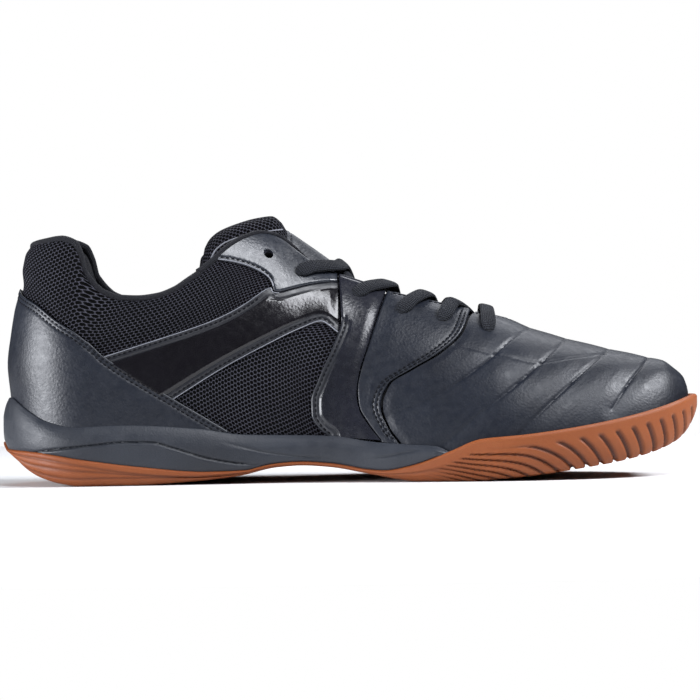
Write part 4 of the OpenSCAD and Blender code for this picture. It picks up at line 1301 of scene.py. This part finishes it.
def tongue_places(start, end, along, across):
    """Places of a strip of the tongue; start and end are positions per height fraction."""
    half = across // 2
    i, j = np.meshgrid(np.arange(along + 1) / along, np.arange(across + 1), indexing="ij")
    t = mix(TONGUE_WING, 1, np.sin(np.radians(90 * (1 - np.abs(j - half) / half))))
    return mix(start(t), end(t), i), t, np.where(j < half, MEDIAL, LATERAL)


def free_end(t):
    return curve(TONGUE_END, t)


def split_seam(t):
    """Where the leather of the tongue meets its mesh tip."""
    return TONGUE_SPLIT - 3.2 * (1 - t)


def front_end(t):
    return np.full_like(t, TONGUE_FRONT)


def free_edge(base):
    """Points of a strip's rear edge and of its two sides."""
    return np.concatenate([base[0], base[:, 0], base[:, -1]])


def tip_seam(side):
    """Points along one side's half of the tip's seam."""
    z = np.linspace(89, 105.2, 160)
    x = curve([(height, at) for at, height in TIP_SEAM], z)
    t = (z - board(x)) / (curve(TONGUE_LINE, x) - board(x))
    return tongue_skin(x, np.clip(t, 0, 1), side, -0.1)


def make_tongue_leather():
    x, t, side = tongue_places(split_seam, front_end, 150, 120)
    base = tongue_skin(x, t, side, 0)
    sides = nearest(base, np.concatenate([base[:, 0], base[:, -1]]))
    back = nearest(base, base[0])
    out = -0.7 * rolled(sides, 1.0) - 0.35 * bell(back, 1.8, 0.55) - 0.25 * rolled(back, 0.9)
    inner = tongue_skin(x, t, side, -TONGUE_FACE_T)
    obj = shell("tongue_leather", tongue_skin(x, t, side, out), inner, GRAIN, angle=70)
    place(obj, "tongue", "grain_leather", "tongue_face")
    row = tongue_skin(x[0] + 1.8, t[0], side[0], -0.2)
    up = unit(row - np.stack([row[:, 0], centre(row[:, 0]), board(row[:, 0]) + 20], -1))
    stitching("tongue_stitching", [(row, up)], body="tongue")


def make_tongue_tip():
    """Padded mesh tip with a rolled edge above its seam."""
    x, t, side = tongue_places(free_end, split_seam, 84, 160)
    base = tongue_skin(x, t, side, 0)
    seams = [tip_seam(s) for s in SIDES.values()]
    from_edge = nearest(base, free_edge(base))
    from_seam = nearest(base, np.concatenate(seams))
    above = ease(base[..., 2] - curve(TIP_SEAM, x), -0.4, 0.4)
    roll = 1.5 * np.sqrt(1 - (1 - np.clip(from_seam / 4, 0, 1)) ** 2)
    inside = 0.5 * ease(from_seam, 0, 4)
    join = ease(nearest(base, base[-1]), 0, 3)
    points = tongue_skin(x, t, side, mix(inside, roll, above) * join - 0.35 - 2.0 * rolled(from_edge, 1.2))
    obj = shell("tongue_tip_mesh", points, tongue_skin(x, t, side, -TONGUE_FACE_T - 2), MESH,
                cloth_map(points, 30), angle=80)
    place(obj, "tongue", "mesh")
    parts = [tube(line, unit(line - UNDER_TIP), 0.8, 0.6) for line in seams]
    place(joined("tongue_seam_cord", parts, LIGHT_SEAM), "tongue", "lace")


def make_tongue_inside():
    """Foam, lining and the rolled edge that closes them."""
    x, t, side = tongue_places(free_end, front_end, 72, 64)
    x = x + 0.6 * (TONGUE_FRONT - x) / (TONGUE_FRONT - TONGUE_REAR)
    swell = 0.5 - 0.45 * np.sin(np.pi * np.clip((t - TONGUE_WING) / (1 - TONGUE_WING), 0, 1)) ** 0.5
    obj = shell("tongue_padding", tongue_skin(x, t, side, FOAM_OUT),
                tongue_skin(x, t, side, FOAM_IN + swell), SOFT_FOAM, step=2)
    place(obj, "tongue", "foam", "tongue_foam")

    x, t, side = tongue_places(free_end, front_end, 90, 80)
    base = tongue_skin(x, t, side, 0)
    dip = 0.3 * bell(nearest(base, free_edge(base)), 5, 0.8)
    points = tongue_skin(x, t, side, FOAM_IN - GAP - LINING_T + dip)
    obj = shell("tongue_inside", points, tongue_skin(x, t, side, FOAM_IN - GAP), LINING, cloth_map(points),
                step=2, angle=70)
    place(obj, "tongue", "lining", "tongue_lining")

    x, t, side = tongue_places(free_end, front_end, 90, 120)
    edge = tongue_skin(x + 0.9, t, side, -4.0)
    path = np.concatenate([edge[::-1, 0], edge[0], edge[:, -1]])
    apart = np.linalg.norm(np.diff(path, axis=0), axis=1) > 0.05
    path = path[np.concatenate([[True], apart])]
    roll = tube(path, unit(path - UNDER_TONGUE), 5.6, 3.4)
    place(joined("tongue_edge_roll", [roll], MESH), "tongue", "mesh")


# ---------------------------------------------------------------- lace

LACE_W = 6.4
LACE_T = 2.3
# Depth of the lace inside the shoe and on top of the leather
LACE_UNDER = -1.9
LACE_OVER = OVERLAY_OUT + LACE_T / 2 + 0.25


def row_place(k, side, d, shift=0.0, rise=0.0):
    """Place and direction beside eyelet k, moved along and up."""
    w = side * wall_of(EYELETS[k][0] + shift)
    return on_skin((w, fraction(w, EYELETS[k][1] + rise)), d)


def edge_place(k, side, shift, d, t):
    """Place and direction at the throat's edge level with eyelet k, moved along."""
    return on_skin((side * wall_of(EYELETS[k][0] + shift), t), d)


def tongue_place(x, lift):
    """Place and direction where the lace lies on the tongue."""
    slope = (curve(TONGUE_LINE, x + 2) - curve(TONGUE_LINE, x - 2)) / 4
    normal = unit(np.array([-slope, 0, 1.0]))
    return np.array([x, centre(x), curve(TONGUE_LINE, x) + 1 + LACE_T / 2 + lift]), normal


def smooth_path(points, steps):
    """Catmull-Rom path through points."""
    p = np.array(points, float)
    p = np.concatenate([[2 * p[0] - p[1]], p, [2 * p[-1] - p[-2]]])
    out = []
    for i in range(1, len(p) - 2):
        f = np.linspace(0, 1, steps, endpoint=False)[:, None]
        a, b, c, e = p[i - 1:i + 3]
        out.append(b + 0.5 * f * (c - a + f * (2 * a - 5 * b + 4 * c - e + f * (3 * b - a - 3 * c + e))))
    return np.concatenate(out + [p[-2:-1]])


# How far towards the toe each row's lace comes over the throat's edge
EDGE_SHIFT = [0, 4.5, 8.5, 11.5, 13.5]
# How the lace dives into an eyelet: distance before it, depth added, width
DIVE = [(4.0, 0.45, LACE_W), (0.8, 0.15, 6.3), (-0.8, -0.35, 5.9), (-2.1, -1.2, 4.4), (-2.7, -2.3, 2.2)]
# How the bar's lace rises out of its eyelet: depth added, height above the eyelet, width
BAR_RISE = [(-2.3, -2.7, 2.2), (-1.2, -2.2, 4.6), (-0.35, -1.0, 6.0), (0, 0.6, LACE_W),
            (0.2, 2.6, LACE_W)]


def lace_crossing(k, side):
    """Lace from inside an eyelet, over the tongue and the far edge, down into the next eyelet."""
    lift = (0.1 if side == MEDIAL else LACE_T + 0.1) - (1.6 if k == 3 else 0)
    ahead = EDGE_SHIFT[k + 1]
    x = (EYELETS[k][0] - 3 + EYELETS[k + 1][0] + ahead) / 2
    edge = edge_place(k + 1, -side, ahead, LACE_OVER + 0.2, 0.962)
    aim = unit(edge[0][[0, 2]] - np.array(EYELETS[k + 1]))
    spots = [(*row_place(k, side, LACE_UNDER), 3.6),
             (*edge_place(k, side, -3, LACE_UNDER + 0.3, 0.95), 5.0),
             (*tongue_place(x, lift), LACE_W),
             (*edge, LACE_W)]
    for along, d, width in DIVE:
        spots.append((*row_place(k + 1, -side, LACE_OVER + d, *(aim * along)), width))
    return spots


def eyelet_plug(k, side):
    """Lace standing in an eyelet."""
    path = [row_place(k, side, d)[0] for d in np.linspace(OVERLAY_OUT - 0.4, LACE_UNDER, 8)]
    return tube(path, np.array([1.0, 0, 0.3]), 3.5, 3.3, power=2.2)


def lace_bar():
    """Straight lace across the toe end of the throat, out of one eyelet and into the other."""
    halves = []
    for side in SIDES.values():
        half = [(*row_place(0, side, LACE_OVER + d, 0, rise), width) for d, rise, width in BAR_RISE]
        halves.append(half + [(*edge_place(0, side, 0, LACE_OVER, 0.985), LACE_W)])
    w = wall_of(EYELETS[0][0])
    top = (skin(w, 1.0, LACE_OVER - 0.2), np.array([0.25, 0, 0.97]), LACE_W)
    return halves[0] + [top] + halves[1][::-1]


def lace_tube(spots, steps=9):
    """Flat lace through spots given as (place, direction, width); it thickens where it is squeezed."""
    places, normals, widths = zip(*spots)
    normal = unit(smooth_path(normals, steps))
    width = smooth_path([[w, 0, 0] for w in widths], steps)[:, 0]
    thick = LACE_T * np.clip(1 + 0.35 * (LACE_W - width) / LACE_W, 1, 1.35)
    return tube(smooth_path(places, steps), normal, width, thick, sides=24, power=2.6)


def make_lace():
    parts = [lace_tube(lace_bar())]
    for side in SIDES.values():
        parts += [eyelet_plug(k, side) for k in range(5)]
        parts += [lace_tube(lace_crossing(k, side)) for k in range(4)]
    place(joined("flat_lace", parts, LACE), "root", "lace", "lace")


# Length and diameter of an aglet, and diameter of the tucked lace
AGLET_L = 18.0
AGLET_D = 2.6
TAIL_D = 2.8


def make_aglet(word, end, aim):
    """Plastic tube crimped twice around the lace's end, closing towards its tip."""
    along = np.linspace(0, AGLET_L, 40)
    crimp = 1 - 0.05 * (np.abs(along - 3) < 0.5) - 0.05 * (np.abs(along - 6) < 0.5)
    size = AGLET_D * crimp * mix(1, 0.82, ease(along, AGLET_L - 1.2, AGLET_L))
    sleeve = tube(end + aim * (along[:, None] + 0.05), UP, size, size, power=2.0)
    return place(joined(f"aglet_sleeve_{word}", [sleeve], AGLET), "insole", "aglet", f"aglet_{word}")


def make_tails():
    for word, side in SIDES.items():
        route = np.array([[x, centre(x) + side * y, z] for x, y, z in TAIL_ROUTE], float)
        path = smooth_path(route, 6)
        near_end = ease(np.arange(len(path)), len(path) - 8, len(path) - 1)
        width = mix(TAIL_D, AGLET_D * 0.9, near_end)
        part = tube(path, np.array([0.0, -side, 0.35]), width, width * 0.92, power=2.2)
        obj = joined(f"tucked_lace_{word}", [part], LACE)
        length = float(run_along(path)[-1])
        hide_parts(f"lace_tail_{word}")
        tip = make_aglet(word, route[-1], unit(route[-1] - route[-2]))
        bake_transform(obj)


# ---------------------------------------------------------------- parts kept as they come

# CAD nodes that no piece stands for, and their materials
DRESS = {"lasting_board": BOARD, "insole": SOLE_FOAM, "insole_cover": SOLE_CLOTH, "vamp_lining": SOLE_CLOTH,
         "toe_puff": STIFFENER, "heel_counter": STIFFENER, "eyelet_backing_medial": BACKING,
         "eyelet_backing_lateral": BACKING}


def dress_kept_nodes():
    """Gives the CAD nodes that stay visible their procedural materials."""
    for node, material in DRESS.items():
        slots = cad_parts[node].data.materials
        slots.clear()
        slots.append(material)


# ---------------------------------------------------------------- camera, light and floor

WHITE = (1, 1, 1, 1)
LAMP_TINT = (0.93, 0.95, 1.0)
AMBIENT = 0.05
FLOOR_R = 0.55
# Area lamps: place, aim and size in m, and power in watts
LAMPS = {"key": ((0.31, -0.53, 0.78), (0.0, 0, 0.07), (0.28, 0.46), 6.8),
         "right": ((0.72, -0.12, 0.66), (0.1, 0, 0.05), (0.24, 0.24), 12),
         "behind": ((0.12, 0.6, 0.72), (0.04, 0, 0.05), (0.9, 0.45), 4.4),
         "left": ((-0.95, -0.36, 0.16), (-0.1, 0, 0.05), (0.6, 0.5), 19)}


def make_lamps():
    for name, (at, aim, size, power) in LAMPS.items():
        data = bpy.data.lights.new(name, "AREA")
        data.shape = "RECTANGLE"
        data.size, data.size_y = size
        data.energy = power
        data.color = LAMP_TINT
        obj = add_object(name, data)
        obj.location = at
        obj.rotation_euler = (Vector(aim) - Vector(at)).to_track_quat("-Z", "Y").to_euler()


def make_floor():
    mesh = bpy.data.meshes.new("floor")
    corners = 96
    turns = np.linspace(0, 2 * math.pi, corners, endpoint=False)
    mesh.from_pydata([(FLOOR_R * math.cos(a), FLOOR_R * math.sin(a), 0) for a in turns], [],
                     [list(range(corners))])
    s = Shade("floor", Roughness=0.9, Specular_IOR_Level=0.1)
    s.set(Base_Color=s.blend(s.noise(3, 2), srgb(220, 220, 220), srgb(226, 226, 226)))
    mesh.materials.append(s.material)
    floor = add_object("floor", mesh)


def make_world():
    """Weak light from all around, and a white backdrop that only the camera sees."""
    world = bpy.data.worlds.new("studio")
    world.use_nodes = True
    tree = world.node_tree
    ambient = tree.nodes["Background"]
    backdrop = tree.nodes.new("ShaderNodeBackground")
    for background in (ambient, backdrop):
        background.inputs["Color"].default_value = WHITE
    ambient.inputs["Strength"].default_value = AMBIENT
    seen = tree.nodes.new("ShaderNodeLightPath")
    choose = tree.nodes.new("ShaderNodeMixShader")
    tree.links.new(seen.outputs["Is Camera Ray"], choose.inputs[0])
    tree.links.new(ambient.outputs[0], choose.inputs[1])
    tree.links.new(backdrop.outputs[0], choose.inputs[2])
    tree.links.new(choose.outputs[0], tree.nodes["World Output"].inputs["Surface"])
    scene = bpy.context.scene
    scene.world = world
    scene.view_settings.view_transform = "Standard"
    scene.view_settings.look = "None"


# Camera: aim and distance in m, roll in degrees
CAMERA_AIM = (0.0007, 0, 0.054)
CAMERA_AWAY = 1.224
CAMERA_ROLL = 0.94


def make_camera():
    data = bpy.data.cameras.new("camera")
    data.lens, data.sensor_width = 150, 36
    data.clip_start, data.clip_end = 0.05, 20
    camera = add_object("camera", data)
    roll = math.radians(CAMERA_ROLL)
    right = Vector((math.cos(roll), 0, -math.sin(roll)))
    up = Vector((math.sin(roll), 0, math.cos(roll)))
    back = right.cross(up)
    turn = Matrix((right, up, back)).transposed().to_4x4()
    camera.matrix_world = Matrix.Translation(Vector(CAMERA_AIM) + back * CAMERA_AWAY) @ turn
    bpy.context.scene.camera = camera


# ---------------------------------------------------------------- the whole shoe

for make in (make_outsole, make_midsole, make_vamp, make_overlays, make_quarters, make_collar_foam,
             make_binding, make_throat_piping, make_tongue_leather, make_tongue_tip, make_tongue_inside,
             make_lace, make_tails, dress_kept_nodes, make_floor, make_world, make_lamps, make_camera):
    make()
